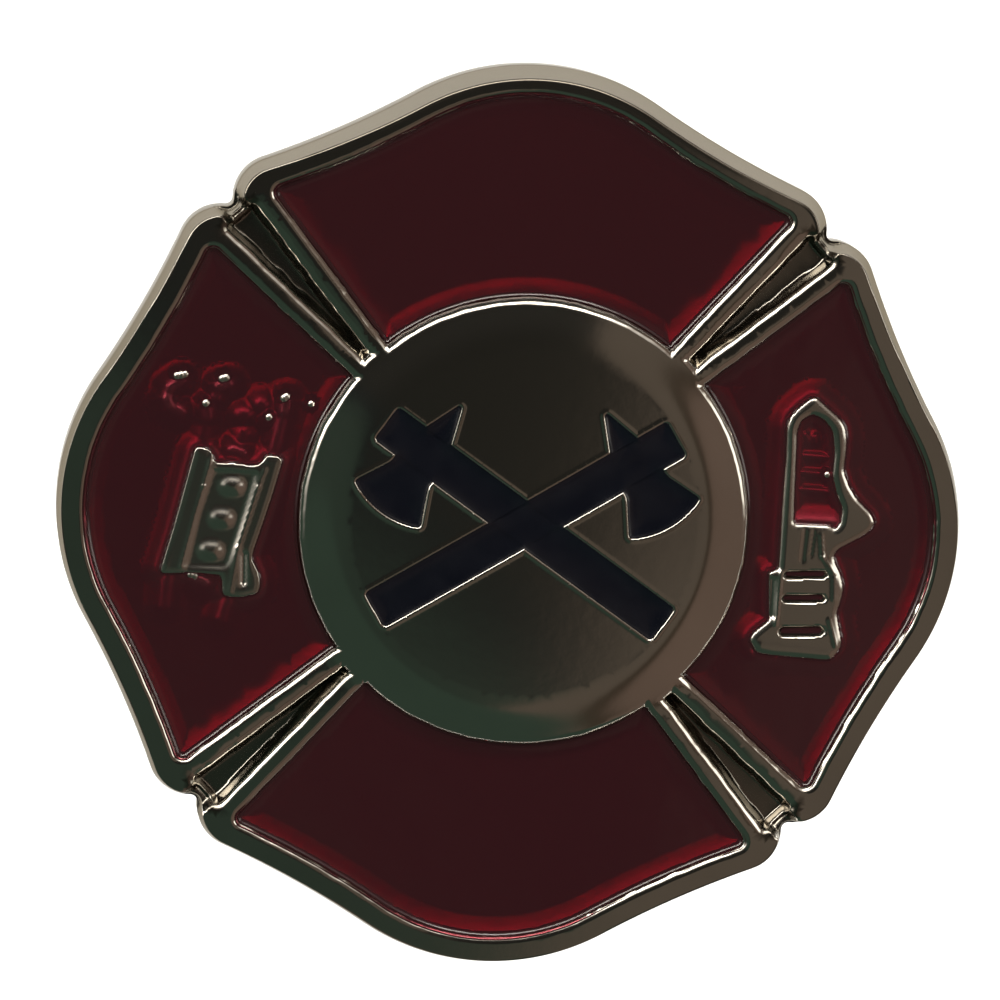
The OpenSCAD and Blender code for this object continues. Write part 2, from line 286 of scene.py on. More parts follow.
def groove_lines(inside):
    """The walls of the four grooves, moved inwards, each one open towards the disc."""
    corner_r = max(GROOVE_CORNER_R - inside, LEAST)
    along = np.arange(UNDER_DISC, groove_end - GROOVE_CORNER_R, POINT_STEP)
    wall = np.stack([along, np.maximum(groove_half(along) - inside, LEAST)], -1)
    turns = np.radians(np.linspace(90, 0, 7))
    round_at = np.array([groove_end, groove_half(groove_end)]) - GROOVE_CORNER_R
    tip = round_at + corner_r * np.stack([np.cos(turns), np.sin(turns)], -1)
    half = np.vstack([wall, tip])
    groove = np.vstack([half, (half * [1, -1])[::-1]])
    return quarter_turns(groove[:, :1] * compass(45) + groove[:, 1:] * compass(-45))


def disc_ring(radius):
    """Points on a circle round the middle of the disc."""
    return DISC_C + radius * compass(spread(0, 360, radius)[:-1])


ROW_PITCH = 0.87


def grid(low, high, pitch):
    """Points over a rectangle, in staggered rows."""
    x, y = np.meshgrid(
        np.arange(low[0], high[0], pitch),
        np.arange(low[1], high[1], pitch * ROW_PITCH),
    )
    x[1::2] += pitch / 2
    return np.stack([x.ravel(), y.ravel()], -1)


print("points on a cell's wall:", len(cell_lines(0)[0]))

# %% [markdown]
# ## The two figures and the mark in the middle
# On the left arm stands a ladder with a pike pole, and on the right arm a hydrant. They
# could be modelled by hand, but a die cutter draws them too: what stands out of the enamel
# is an outline with rounded corners, and what the enamel covers is made of strokes, each a
# line with a width and a height. Round both, the metal rises from the floor in a low skirt,
# because the die was cut with a round tool. This skirt is what glows red round a figure.

# %% Distances to outlines and lines
SQUARE = np.array([[-1, -1], [1, -1], [1, 1], [-1, 1]])
# A corner is cut back by less than this share of each side
CORNER_SHARE = 0.45


def from_line(p, x0, y0, x1, y1):
    """Distance from a straight line between two points."""
    start, way = np.array([x0, y0]), np.array([x1 - x0, y1 - y0])
    share = np.clip((p - start) @ way / (way @ way), 0, 1)
    return np.hypot(*(p - start - share[:, None] * way).T)


def outline_in(p, corners):
    """How far a place is inside a closed outline."""
    distance = np.full(len(p), FAR)
    inside = np.zeros(len(p), bool)
    for a, b in zip(corners, np.roll(corners, -1, axis=0)):
        distance = np.minimum(distance, from_line(p, *a, *b))
        way = b - a
        crosses = (a[1] > p[:, 1]) != (b[1] > p[:, 1])
        rise = way[1] if abs(way[1]) > 1e-9 else 1e-9
        inside ^= crosses & (p[:, 0] < a[0] + (p[:, 1] - a[1]) * way[0] / rise)
    return np.where(inside, distance, -distance)


def soften(corners, radius, closed=False):
    """An outline or a profile whose corners are cut round."""
    corners = np.array(corners, float)
    ends = corners[:1], corners[-1:]
    if closed:
        corners = np.vstack([corners[-1:], corners, corners[:1]])
    out = []
    for before, here, after in zip(corners, corners[1:], corners[2:]):
        back, ahead = before - here, after - here
        reach = min(radius, CORNER_SHARE * np.hypot(*back), CORNER_SHARE * np.hypot(*ahead))
        start = here + back / np.hypot(*back) * reach
        end = here + ahead / np.hypot(*ahead) * reach
        for t in np.linspace(0, 1, 4):
            out.append((1 - t) ** 2 * start + 2 * t * (1 - t) * here + t ** 2 * end)
    return np.array(out) if closed else np.vstack([ends[0], out, ends[1]])


def smoothstep(low, high, value):
    """Soft step from 0 to 1 between two values."""
    t = np.clip((value - low) / (high - low), 0, 1)
    return t * t * (3 - 2 * t)


print("middle of a square:", outline_in(np.zeros((1, 2)), SQUARE), "mm inside")

# %% Outlines of the figures, in millimetres
LADDER = soften([
    (-8.95, 1.61), (-8.53, 1.54), (-8.39, 1.15), (-7.92, 1.21), (-7.47, 1.15), (-7.14, 1.17),
    (-6.97, 1.49), (-6.53, 1.42), (-6.72, 0.52), (-6.96, -0.40), (-7.18, -1.19),
    (-7.22, -1.45), (-6.98, -1.91), (-6.94, -2.19), (-6.99, -2.41), (-7.47, -2.55),
    (-7.95, -2.53), (-7.99, -2.08), (-8.07, -1.94), (-9.01, -1.90), (-9.18, -1.95),
    (-9.73, -1.98), (-9.67, -1.69), (-9.43, -0.70), (-9.20, 0.39),
], 0.15, closed=True)
HYDRANT = soften([
    (7.53, 3.06), (7.61, 3.34), (7.83, 3.60), (8.12, 3.86), (8.28, 3.91), (8.53, 3.71),
    (9.02, 3.32), (9.15, 3.15), (9.23, 2.81), (9.24, 2.42), (9.21, 1.90), (9.40, 1.46),
    (9.63, 1.13), (10.12, 0.69), (10.22, 0.48), (10.17, 0.28), (9.91, 0.07), (9.23, -0.32),
    (9.11, -0.52), (9.19, -0.77), (9.35, -1.04), (9.47, -1.45), (9.41, -1.84), (9.33, -2.13),
    (9.38, -2.38), (9.54, -2.97), (9.50, -3.22), (9.28, -3.47), (9.11, -3.50), (7.56, -3.43),
    (7.13, -3.37), (6.91, -2.99), (7.08, -2.79), (7.46, -2.45), (7.42, -2.23), (7.33, -1.10),
    (7.44, -1.06), (7.59, -1.00), (7.59, -0.51), (7.58, 1.76), (7.57, 2.33),
], 0.12, closed=True)
# Field of the hydrant's bonnet, which the enamel floods
FLOODED = soften([
    (7.80, 2.96), (7.91, 3.28), (8.21, 3.47), (8.56, 3.33), (8.83, 3.02), (8.94, 2.40),
    (8.93, 1.72), (9.07, 1.27), (9.28, 0.83), (9.25, 0.37), (9.11, 0.20), (8.92, 0.31),
    (7.91, 0.30), (7.87, 1.20), (7.83, 2.34),
], 0.12, closed=True)
# Sunk field of the ladder, between its rails
LADDER_FIELD = soften([
    (-8.46, 1.00), (-7.22, 1.00), (-7.50, -0.20), (-7.88, -1.75), (-9.05, -1.80), (-8.80, -0.30),
], 0.15, closed=True)
print("points on the figures' outlines:", len(LADDER) + len(HYDRANT) + len(FLOODED))

# %% Lines on the figures, and what the enamel covers
# Fine lines on the bare metal: start x, start y, end x, end y, half width, height
RIDGES = [
    (-8.49, 1.45, -8.66, 0.53, 0.055, 0.020),
    (-8.66, 0.53, -9.16, -1.75, 0.055, 0.020),
    (-7.00, 1.10, -7.15, 0.61, 0.055, 0.015),
    (-7.15, 0.61, -7.61, -1.16, 0.060, 0.020),
    (-7.61, -1.16, -7.76, -2.40, 0.070, 0.020),
    (-9.22, 0.90, -9.66, -1.70, 0.110, 0.015),
    (-7.44, -1.35, -7.40, -2.15, 0.090, -0.060),
    (8.72, 0.05, 8.80, -0.55, 0.060, 0.025),
    (8.80, -0.55, 9.14, -1.00, 0.060, 0.020),
    (9.18, -1.15, 9.22, -1.75, 0.070, 0.020),
    (8.50, 0.15, 8.45, -0.55, 0.050, -0.015),
    (8.25, 0.15, 8.22, -0.70, 0.070, -0.020),
    (7.66, -1.05, 7.62, -2.55, 0.060, 0.025),
    (7.45, -1.30, 7.50, -2.30, 0.090, -0.050),
    (9.14, -2.35, 9.38, -3.10, 0.060, 0.020),
    (7.25, -3.15, 9.20, -3.30, 0.100, 0.015),
]
# What the enamel covers: start x, start y, end x, end y, height over the floor
COVERED = [
    (-9.45, 3.42, -9.74, 3.20, 0.30),
    (-9.74, 3.20, -9.82, 2.88, 0.30),
    (-9.82, 2.88, -9.74, 2.69, 0.32),
    (-9.74, 2.69, -9.42, 2.54, 0.30),
    (-8.45, 3.00, -8.40, 3.30, 0.27),
    (-8.40, 3.30, -8.14, 3.38, 0.31),
    (-8.71, 2.77, -8.67, 2.44, 0.27),
    (-8.67, 2.44, -8.76, 1.60, 0.20),
    (-7.92, 1.53, -7.66, 1.46, 0.29),
    (-7.80, 1.20, -7.64, 2.00, 0.20),
    (-7.75, 2.54, -7.60, 2.54, 0.24),
    (-7.00, 2.50, -6.95, 2.42, 0.25),
    (-7.22, 2.86, -7.16, 2.84, 0.24),
    (-6.50, 3.00, -6.55, 2.70, 0.31),
    (-6.55, 2.70, -6.79, 1.41, 0.27),
    (-8.82, -2.04, -8.45, -2.20, 0.33),
    (-9.50, -2.00, -9.54, -2.90, 0.24),
    (-7.74, -2.46, -7.92, -3.20, 0.24),
    (7.20, -3.40, 7.65, -3.48, 0.27),
]
# Ribs on the flooded floor of the bonnet: start x, start y, end x, end y
RIBS = [
    (8.12, 2.24, 8.80, 2.22),
    (8.08, 1.76, 8.86, 1.74),
    (8.05, 1.28, 8.86, 1.26),
    (8.09, 2.83, 8.16, 2.66),
    (8.38, 2.80, 8.40, 2.66),
]
# Beads of metal that poke through the enamel: x, y, height of the tip over the floor
BEADS = [
    (-9.58, 3.55, 0.38), (-9.46, 3.58, 0.39), (-9.36, 3.60, 0.37), (-8.33, 3.54, 0.38),
    (-8.23, 3.57, 0.385), (-8.74, 2.83, 0.385), (-6.97, 2.53, 0.375), (-6.58, 3.09, 0.395),
    (-6.52, 3.13, 0.38), (-8.88, -1.99, 0.385), (-8.76, -2.02, 0.38), (-5.82, 2.96, 0.375),
    (8.78, 1.75, 0.375),
]
print("strokes:", len(RIDGES) + len(COVERED) + len(RIBS), "beads:", len(BEADS))

# %% Height of the figures
BARE_H, SHOULDER_RUN, BARE_WALL = 0.47, 0.17, 0.08
LADDER_SHOULDER, HYDRANT_SHOULDER = 0.025, 0.05
LADDER_FIELD_DROP, FIELD_WALL = 0.06, 0.12
# Middles of the two figures, and how their tops lean: height per millimetre in x and y
LADDER_C, HYDRANT_C = np.array([-8.08, -0.2]), np.array([8.4, 0.1])
LADDER_LEAN, HYDRANT_LEAN = (0.004, 0.004), (-0.03, 0.005)
# The flooded floor rises towards its lower end, between the two places in y below
FLOOD_FLOOR, FLOOD_RISE, FLOOD_WALL = 0.12, 0.19, 0.05
FLOOD_LOW, FLOOD_HIGH = 0.3, 1.0
RIB_H, RIB_W = 0.09, 0.13
# Height of the skirt where it leaves bare metal, and how far skirts and covered parts reach
SKIRT_H, SKIRT_RUN, SKIRT_BLEND = 0.22, 0.43, 0.04
BEAD_R = 0.11
# The figures lie this far left or right, and within this height
LEFT_OF, RIGHT_OF, FIGURES_UP = -5.5, 6, 5


def near_figures(p):
    """Which places lie round the left and round the right figure."""
    level = np.abs(p[:, 1]) < FIGURES_UP
    return level & (p[:, 0] < LEFT_OF), level & (p[:, 0] > RIGHT_OF)


def bare_in(p):
    """How far a place is inside the bare metal of a figure."""
    inside = np.full(len(p), -9.0)
    left, right = near_figures(p)
    inside[left] = outline_in(p[left], LADDER)
    inside[right] = np.minimum(outline_in(p[right], HYDRANT), -outline_in(p[right], FLOODED))
    return inside


def figure_height(p):
    """Height of the figures above the cells' floors."""
    height = np.zeros(len(p))
    near = np.logical_or(*near_figures(p))
    q = p[near]
    bare = bare_in(q)
    left = q[:, 0] < 0
    shoulder = np.where(left, LADDER_SHOULDER, HYDRANT_SHOULDER)
    top = BARE_H - shoulder * np.clip(1 - bare / SHOULDER_RUN, 0, 1) ** 2
    top += np.where(left, (q - LADDER_C) @ LADDER_LEAN, (q - HYDRANT_C) @ HYDRANT_LEAN)
    top -= LADDER_FIELD_DROP * smoothstep(-FIELD_WALL, FIELD_WALL, outline_in(q, LADDER_FIELD))
    for *ends, half_width, rise in RIDGES:
        top += rise * np.exp(-(from_line(q, *ends) / half_width) ** 2)
    top *= smoothstep(-BARE_WALL, 0, bare)
    flood = FLOOD_FLOOR + FLOOD_RISE * (1 - smoothstep(FLOOD_LOW, FLOOD_HIGH, q[:, 1]))
    for ends in RIBS:
        flood += RIB_H * np.exp(-(from_line(q, *ends) / RIB_W) ** 2)
    flood *= smoothstep(-FLOOD_WALL, FLOOD_WALL, outline_in(q, FLOODED))
    top = np.maximum(top, flood)
    skirt = SKIRT_H * np.exp(-(np.maximum(-bare, 0) / SKIRT_RUN) ** 2)
    for *ends, rise in COVERED:
        hill = rise * np.exp(-(from_line(q, *ends) / SKIRT_RUN) ** 2)
        skirt = smooth_max(skirt, hill, SKIRT_BLEND)
    top = np.maximum(top, skirt)
    for x, y, tip in BEADS:
        top = np.maximum(top, tip - ((q - [x, y]) ** 2).sum(-1) / (2 * BEAD_R))
    height[near] = top
    return height


print("height in the ladder's middle:", figure_height(LADDER_C[None]).round(3))

# %% [markdown]
# The mark in the middle is sunk and filled with black: two crossed fire axes, an old sign
# of the service. Each axe is three simple outlines, and the second axe is the first one
# mirrored.

# %% The crossed axes
AXE_LEN, HANDLE_W, AXE_LEAN = 9.6, 1.05, 33.0
HEAD_X, HEAD_NECK = AXE_LEN * 0.36, 0.6
BLADE_REACH, BLADE_EDGE_R, BLADE_TURN = 2.05, 2.4, 27.0
PICK_REACH = 1.6
MARK_CORNER = 0.1

blade_turns = np.linspace(180 - BLADE_TURN, 180 + BLADE_TURN, 15)
blade_edge = [0, BLADE_EDGE_R - BLADE_REACH] + BLADE_EDGE_R * compass(blade_turns)
blade_neck = 0.75 * HANDLE_W
handle = SQUARE * [AXE_LEN / 2, HANDLE_W / 2]
blade = np.vstack([
    [[HEAD_NECK, 0], [HEAD_NECK, -blade_neck]],
    blade_edge,
    [[-HEAD_NECK, -blade_neck], [-HEAD_NECK, 0]],
]) + [HEAD_X, 0]
pick = np.array([[-HEAD_NECK, 0], [0, PICK_REACH], [HEAD_NECK, 0]]) + [HEAD_X, 0]


def mark_outlines():
    """The outlines of both axes, on the disc."""
    c, s = np.cos(np.radians(AXE_LEAN)), np.sin(np.radians(AXE_LEAN))
    leaning = [
        soften(shape, MARK_CORNER, closed=True) @ np.array([[c, s], [-s, c]])
        for shape in (handle, blade, pick)
    ]
    return [shape * [side, 1] + DISC_C for side in (1, -1) for shape in leaning]


axes = mark_outlines()


def mark_in(p):
    """How far a place is inside the mark."""
    depth = np.full(len(p), -9.0)
    near = from_disc(p) < DISC_R
    each = np.array([outline_in(p[near], shape) for shape in axes])
    inside = np.sqrt((np.maximum(each, 0) ** 2).sum(axis=0))
    depth[near] = np.where(inside > 0, inside, each.max(axis=0))
    return depth


print("outlines in the mark:", len(axes))

# %% [markdown]
# ## The landscape of the struck face
# Now every rule of the face comes together in one function. The rim is rounded where the
# badge was tumbled. Outside it lies a fine burr, where the trimming tool dragged the metal
# up. The cells have sloping walls that run out softly into their floors: this slope is what
# glows bright red through the enamel on the side that faces the lamp.

# %% Uneven metal and sloping walls
WALL_ROUND, WALL_ROUND_DROP = 0.2, 0.1


def unevenness(p, pitch, seed):
    """Smooth random hills between -1 and 1, about one pitch wide."""
    table = np.random.RandomState(seed).uniform(-1, 1, (256, 256))
    cell = np.floor(p / pitch)
    t = p / pitch - cell
    t = t * t * (3 - 2 * t)
    x, y = cell.astype(int).T % 256
    low = table[x, y] + (table[(x + 1) % 256, y] - table[x, y]) * t[:, 0]
    high = table[x, (y + 1) % 256]
    high = high + (table[(x + 1) % 256, (y + 1) % 256] - high) * t[:, 0]
    return low + (high - low) * t[:, 1]


def share_of_drop(inside, places, slopes):
    """Share of a wall's depth that is reached, from a table of its slopes."""
    fine = np.linspace(places[0], places[-1], 200)
    drop = np.cumsum(np.interp(fine, places, slopes))
    drop -= drop[0]
    return np.interp(inside, fine, drop / drop[-1])


def wall_drop(inside, depth, places, slopes):
    """Depth below the rim: a rounded edge, then the wall and its foot."""
    edge = WALL_ROUND_DROP * np.clip(1 + inside / WALL_ROUND, 0, 1) ** 2
    return edge + (depth - WALL_ROUND_DROP) * share_of_drop(inside, places, slopes)


print("wall's round edge:", WALL_ROUND_DROP, "mm deep,", WALL_ROUND, "mm wide")

# %% The trimmed edge
SIDE_TOP = 1.28
# Slope of the badge's outer edge at each distance inside it. The trimming tool sat off
# centre: the edge is broad at the top of the pin and up to three times narrower elsewhere.
EDGE_AT = [0, 0.03, 0.06, 0.33, 0.37, 0.42]
EDGE_SLOPE = [3, 1.8, 1.3, 1.3, 0.5, 0]
TRIM_NARROWER, TRIM_WAY = 2.2, np.array([0.1, 0.995])


def edge_depth(p):
    """Distance inside the edge, as the trimming tool has scaled it."""
    facing = (p @ TRIM_WAY) / np.maximum(np.hypot(*p.T), 1)
    return edge_inset(p) * (1 + TRIM_NARROWER * (1 - smoothstep(0, 1, facing)))


narrow_edge = EDGE_AT[-1] / (1 + TRIM_NARROWER)
print("the edge is", EDGE_AT[-1], "mm wide at the top and", round(narrow_edge, 2), "mm below")

# %% The dome and the fall of the rims
DOME_FALL = 0.06
BAND_FROM, BAND_TO = 4.9, 6.8
FACE_FALL, FALL_WALL = 0.005, 0.1


def top_height(p):
    """The face before its cells and grooves: the dome, and rims that fall away slowly."""
    r = from_disc(p)
    dome = DOME_RISE - DOME_FALL * np.minimum(r / BAND_FROM, 1) ** 2
    dome *= 1 - smoothstep(BAND_FROM, BAND_TO, r)
    fall = FACE_FALL * np.maximum(r - DISC_R, 0) ** 2
    return PLATE_T + dome - fall * (1 - smoothstep(0, FALL_WALL, pool_in(p)))


print("top of the dome:", top_height(DISC_C[None]).round(3))

# %% Rims, walls and lips
BURR_AT, BURR_W, BURR_H, BURR_GAPS = 0.4, 0.05, 0.006, (-0.5, 0.6)
# Slope of a cell's wall at each distance inside it: steep, then a long soft foot
WALL_AT = [0, 0.03, 0.07, 0.1, 0.2, 0.3, 0.5, 0.6]
WALL_SLOPE = [4, 8.5, 3, 0.41, 0.35, 0.31, 0.28, 0]
GROOVE_AT = [0, 0.05, 0.16, 0.19, 0.3]
GROOVE_SLOPE = [2.4, 3.0, 2.6, 0.1, 0]
# Pitch and seed of the hills that break the burr and lump the lip, and height, pitch and
# seed of those that make the walls waver
BURR_HILLS, LIP_HILLS = (1.3, 5), (0.22, 12)
WAVERS = [(0.012, 0.4, 3), (0.006, 0.16, 4)]
# The lip dips at the groove's end: where it starts and is full along it, and its sides
LIP_DROP, LIP_LUMP = 0.25, 0.15
LIP_BEFORE, LIP_AFTER, LIP_SIDES = 0.1, 0.05, (0.2, 0.45)


def rim_height(p):
    """Height of the rims, the cells, the grooves and the lips at their ends."""
    inset = edge_depth(p)
    height = top_height(p)
    height -= (PLATE_T - SIDE_TOP) * (1 - share_of_drop(inset, EDGE_AT, EDGE_SLOPE))
    burr = BURR_H * smoothstep(*BURR_GAPS, unevenness(p, *BURR_HILLS))
    height += burr * np.exp(-((inset - BURR_AT) / BURR_W) ** 2)
    waver = sum(rise * unevenness(p, pitch, seed) for rise, pitch, seed in WAVERS)
    height -= wall_drop(pool_in(p) + waver, CELL_DEPTH, WALL_AT, WALL_SLOPE)
    height -= wall_drop(groove_in(p) + waver, GROOVE_DEPTH, GROOVE_AT, GROOVE_SLOPE)
    along, across = diagonal(p)
    lip = smoothstep(groove_end - LIP_BEFORE, groove_end + LIP_AFTER, along)
    lump = LIP_DROP * (1 + LIP_LUMP * unevenness(p, *LIP_HILLS))
    height -= lump * lip * (1 - smoothstep(*LIP_SIDES, across))
    return height


cell_middle = np.array([[0.0, 9.0]])
print("depth of a cell:", (top_height(cell_middle) - rim_height(cell_middle)).round(3))

# %% Height of the metal
MARK_DROP, MARK_WALL, MARK_EDGE = 0.22, 0.12, 0.06
MARK_LIP, MARK_LIP_AT, MARK_LIP_W = 0.012, 0.1, 0.05


def metal_height(p):
    """Height of the struck face above the badge's back."""
    height = np.maximum(rim_height(p), CELL_FLOOR + figure_height(p))
    mark = mark_in(p)
    height += MARK_LIP * np.exp(-((mark + MARK_LIP_AT) / MARK_LIP_W) ** 2)
    return height - MARK_DROP * smoothstep(-MARK_EDGE, MARK_WALL - MARK_EDGE, mark)


print("metal beside the mark:", metal_height(DISC_C[None] + [0, 3]).round(3))

# %% [markdown]
# ## From lines to a mesh
# Blender can triangulate points so that given lines stay edges of the triangles. That is
# better here than a plain grid, which would leave steps along every slanting wall. The
# height of each point comes from the landscape, and so does the direction of its normal,
# so a mirror-bright surface shows no facets.

# %% Triangles between lines
def triangulate(lines, closed_lines, points):
    """Points and triangles that keep the given lines as edges."""
    places, edges = [], []
    for line, closed in [(l, False) for l in lines] + [(l, True) for l in closed_lines]:
        first = len(places)
        places.extend(line.tolist())
        edges.extend((first + i, first + i + 1) for i in range(len(line) - 1))
        if closed:
            edges.append((first + len(line) - 1, first))
    places.extend(points.tolist())
    found = delaunay_2d_cdt([Vector(p) for p in places], edges, [], 1, 1e-4, False)
    return np.array([tuple(v) for v in found[0]]), np.array([f[:] for f in found[2]])


def surface_normals(height, p, reach=0.01):
    """Normals of a landscape at given places."""
    slope_x = height(p + [reach, 0]) - height(p - [reach, 0])
    slope_y = height(p + [0, reach]) - height(p - [0, reach])
    normals = np.stack([-slope_x, -slope_y, np.full(len(p), 2 * reach)], -1)
    return normals / np.linalg.norm(normals, axis=1)[:, None]


def rim_of(triangles):
    """Edges that only one triangle has, in its own direction."""
    edges = np.vstack([triangles[:, [0, 1]], triangles[:, [1, 2]], triangles[:, [2, 0]]])
    known = {tuple(e) for e in edges.tolist()}
    return np.array([e for e in edges.tolist() if (e[1], e[0]) not in known])


def loop_from(edges):
    """Edges that form one closed loop, as an ordered list of points."""
    following = dict(edges.tolist())
    loop = [edges[0, 0]]
    while following[loop[-1]] != loop[0]:
        loop.append(following[loop[-1]])
    return np.array(loop)


def facing_up(p, triangles):
    """The triangles, all turned anticlockwise as seen from above."""
    a, b, c = (p[triangles[:, i]] for i in range(3))
    area = (b - a)[:, 0] * (c - a)[:, 1] - (b - a)[:, 1] * (c - a)[:, 0]
    triangles = triangles.copy()
    triangles[area < 0] = triangles[area < 0][:, ::-1]
    return triangles[np.abs(area) > 1e-9]


def new_object(name, data):
    """An object in the scene from a mesh, a curve, a lamp or a camera."""
    thing = bpy.data.objects.new(name, data)
    bpy.context.scene.collection.objects.link(thing)
    return thing


def new_piece(name, points, faces):
    """A smooth mesh object from points in millimetres above the badge's back."""
    mesh = bpy.data.meshes.new(name)
    mesh.from_pydata((points + [0, 0, BACK_Z]) * MM, [], faces)
    mesh.shade_smooth()
    return new_object(name, mesh)


# %% Points on the struck face
CELL_STEPS = [
    -0.2, -0.16, -0.12, -0.09, -0.06, -0.03, 0, 0.02, 0.045,
    0.08, 0.12, 0.16, 0.2, 0.26, 0.34, 0.42, 0.5, 0.58, 0.66,
]
GROOVE_STEPS = [-0.17, -0.12, -0.07, -0.03, 0, 0.03, 0.07, 0.12, 0.18, 0.25]
EDGE_STEPS = [
    0, 0.01, 0.02, 0.04, 0.065, 0.09, 0.12, 0.135, 0.16,
    0.2, 0.25, 0.3, 0.33, 0.36, 0.39, 0.42, 0.47, 0.54,
]
# Rings on the disc: wide apart in its middle, closer on its band, close at its edge
disc_steps = np.concatenate([
    np.arange(0.3, 5.0, 0.3),
    np.arange(5.06, 6.1, 0.08),
    DISC_R + np.array(CELL_STEPS),
])
FINE, MEDIUM, COARSE = 0.039, 0.075, 0.45
FIGURE_BOXES = [((-10.7, -4.2), (-5.5, 4.4)), ((6.5, -4.2), (10.9, 4.6))]
# Nearer to the edge than this, lines alone make the mesh
EDGE_BAND = 0.65
# How far fine points reach from a figure's wall, from a bead, and from a line that runs
# a little outside the mark
WALL_BAND, BEAD_BAND, MARK_BAND, MARK_MIDDLE = 0.2, 0.08, 0.19, 0.08


def over_badge(pitch, inset):
    """Staggered points over the badge, some way inside its edge."""
    points = grid([-REACH] * 2, [REACH] * 2, pitch)
    return points[edge_inset(points) > inset]


def over_figures(pitch):
    """Staggered points over both figures."""
    return np.vstack([grid(low, high, pitch) for low, high in FIGURE_BOXES])


at_walls = over_figures(FINE)
to_beads = [np.hypot(*(at_walls - bead[:2]).T) for bead in BEADS]
at_walls = at_walls[
    (np.abs(bare_in(at_walls)) < WALL_BAND) | (np.min(to_beads, axis=0) < BEAD_R + BEAD_BAND)
]
on_disc = grid(DISC_C - DISC_R, DISC_C + DISC_R, FINE)
on_disc = on_disc[np.abs(mark_in(on_disc) + MARK_MIDDLE) < MARK_BAND]
print("fine points:", len(at_walls), "at the figures,", len(on_disc), "at the mark")

# %% The struck face
walls = [line for step in CELL_STEPS for line in cell_lines(step)]
walls += [line for step in GROOVE_STEPS for line in groove_lines(step)]
rings = [outline(step) for step in EDGE_STEPS] + [disc_ring(radius) for radius in disc_steps]
p, triangles = triangulate(
    walls, rings,
    np.vstack([over_badge(COARSE, EDGE_BAND), over_figures(MEDIUM), at_walls, on_disc]),
)
triangles = facing_up(p, triangles)
triangles = triangles[edge_inset(p[triangles].mean(axis=1)) > 0]
face_points = np.column_stack([p, metal_height(p)])
print("struck face:", len(p), "points,", len(triangles), "triangles")

# %% [markdown]
# ## Side and back
# The side is trimmed straight down and slightly rounded where it meets the back. It is
# made of rings below the face's outer edge, and the back closes it.

# %% The whole badge as one shell
# Distance inside the outline, height above the back
SIDE_RINGS = [(0, 0.9), (0, 0.55), (0, 0.25), (0.02, 0.12), (0.07, 0.03), (0.14, 0.0)]

loop = loop_from(rim_of(triangles))
inwards = surface_normals(edge_inset, p[loop])[:, :2]
inwards = -inwards / np.linalg.norm(inwards, axis=1)[:, None]
shell = [face_points]
faces = triangles.tolist()
above = loop
count = len(face_points)
for inset, height in SIDE_RINGS:
    ring = p[loop] + inset * inwards
    shell.append(np.column_stack([ring, np.full(len(ring), height)]))
    below = count + np.arange(len(loop))
    count += len(loop)
    following = np.roll(np.arange(len(loop)), -1)
    faces += np.stack([above, below, below[following], above[following]], -1).tolist()
    above = below
faces.append(above[::-1].tolist())

badge = new_piece("struck_badge", np.vstack(shell), faces)
print("badge:", len(badge.data.vertices), "points,", sum(len(f) - 2 for f in faces), "triangles")

# %% [markdown]
# ## Nodes in a few words
# Both shader trees and geometry trees are built from nodes. These helpers add one node, set
# its options, and fill each input with a value or with what another node gives. A few more
# stand for what every finish here needs: a noise that is fixed to the piece, fine waves made
# from it, and a colour between two others.

# %% Helpers for nodes
def fill_inputs(tree, node, inputs):
    """Gives a node's inputs their values, or links them to a socket or a node."""
    for key, value in dict(inputs).items():
        if isinstance(value, bpy.types.Node):
            value = value.outputs[0]
        if isinstance(value, bpy.types.NodeSocket):
            tree.links.new(value, node.inputs[key])
        else:
            node.inputs[key].default_value = value
    return node


def add_node(tree, kind, inputs=(), **settings):
    """Adds a node, sets its options and fills its inputs."""
    node = tree.nodes.new(kind)
    for name, value in settings.items():
        setattr(node, name, value)
    return fill_inputs(tree, node, inputs)


def maths(tree, operation, *values, **settings):
    """A number from one, two or three others."""
    return add_node(
        tree, "ShaderNodeMath", dict(enumerate(values)), operation=operation, **settings,
    )


def noise(tree, scale, detail):
    """Soft random values, so many to the metre, that stay in place on the piece."""
    place = add_node(tree, "ShaderNodeTexCoord").outputs["Object"]
    return add_node(
        tree, "ShaderNodeTexNoise", {"Vector": place, "Scale": scale, "Detail": detail},
    )


def waves(tree, pattern, height, **before):
    """Fine relief from a pattern, with its height in millimetres."""
    return add_node(
        tree, "ShaderNodeBump",
        {"Height": pattern, "Strength": 1.0, "Distance": height * MM, **before},
    )


def mixed(tree, share, first, second):
    """A colour that a share changes from the first one into the second."""
    first, second = ((*c, 1) if isinstance(c, tuple) else c for c in (first, second))
    mix = add_node(tree, "ShaderNodeMix", {0: share, 6: first, 7: second}, data_type="RGBA")
    return mix.outputs["Result"]


def new_material(name):
    """A material with only a Principled shader."""
    material = bpy.data.materials.new(name)
    material.use_nodes = True
    tree = material.node_tree
    tree.nodes.clear()
    shader = add_node(tree, "ShaderNodeBsdfPrincipled")
    add_node(tree, "ShaderNodeOutputMaterial", {"Surface": shader})
    return material, tree, shader


# %% [markdown]
# ## Nickel plate
# Tumbled nickel is bright but never perfectly even: its gloss changes from place to place,
# it has soft waves a few tenths of a millimetre wide, and its tone changes in soft clouds.
# Where an attribute marks it, shade is painted into its colour, and it gets rougher there
# too. The waves are what break a long highlight into beads. They come from noise on
# Object coordinates, so they stay fixed to the metal.

# %% Nickel plate
# Roughness that satin and wear add, darkening of the random clouds, height of the grain
SATIN, WORN, CLOUDY = 0.17, 0.12, 0.35
GRAIN_H = 0.00015


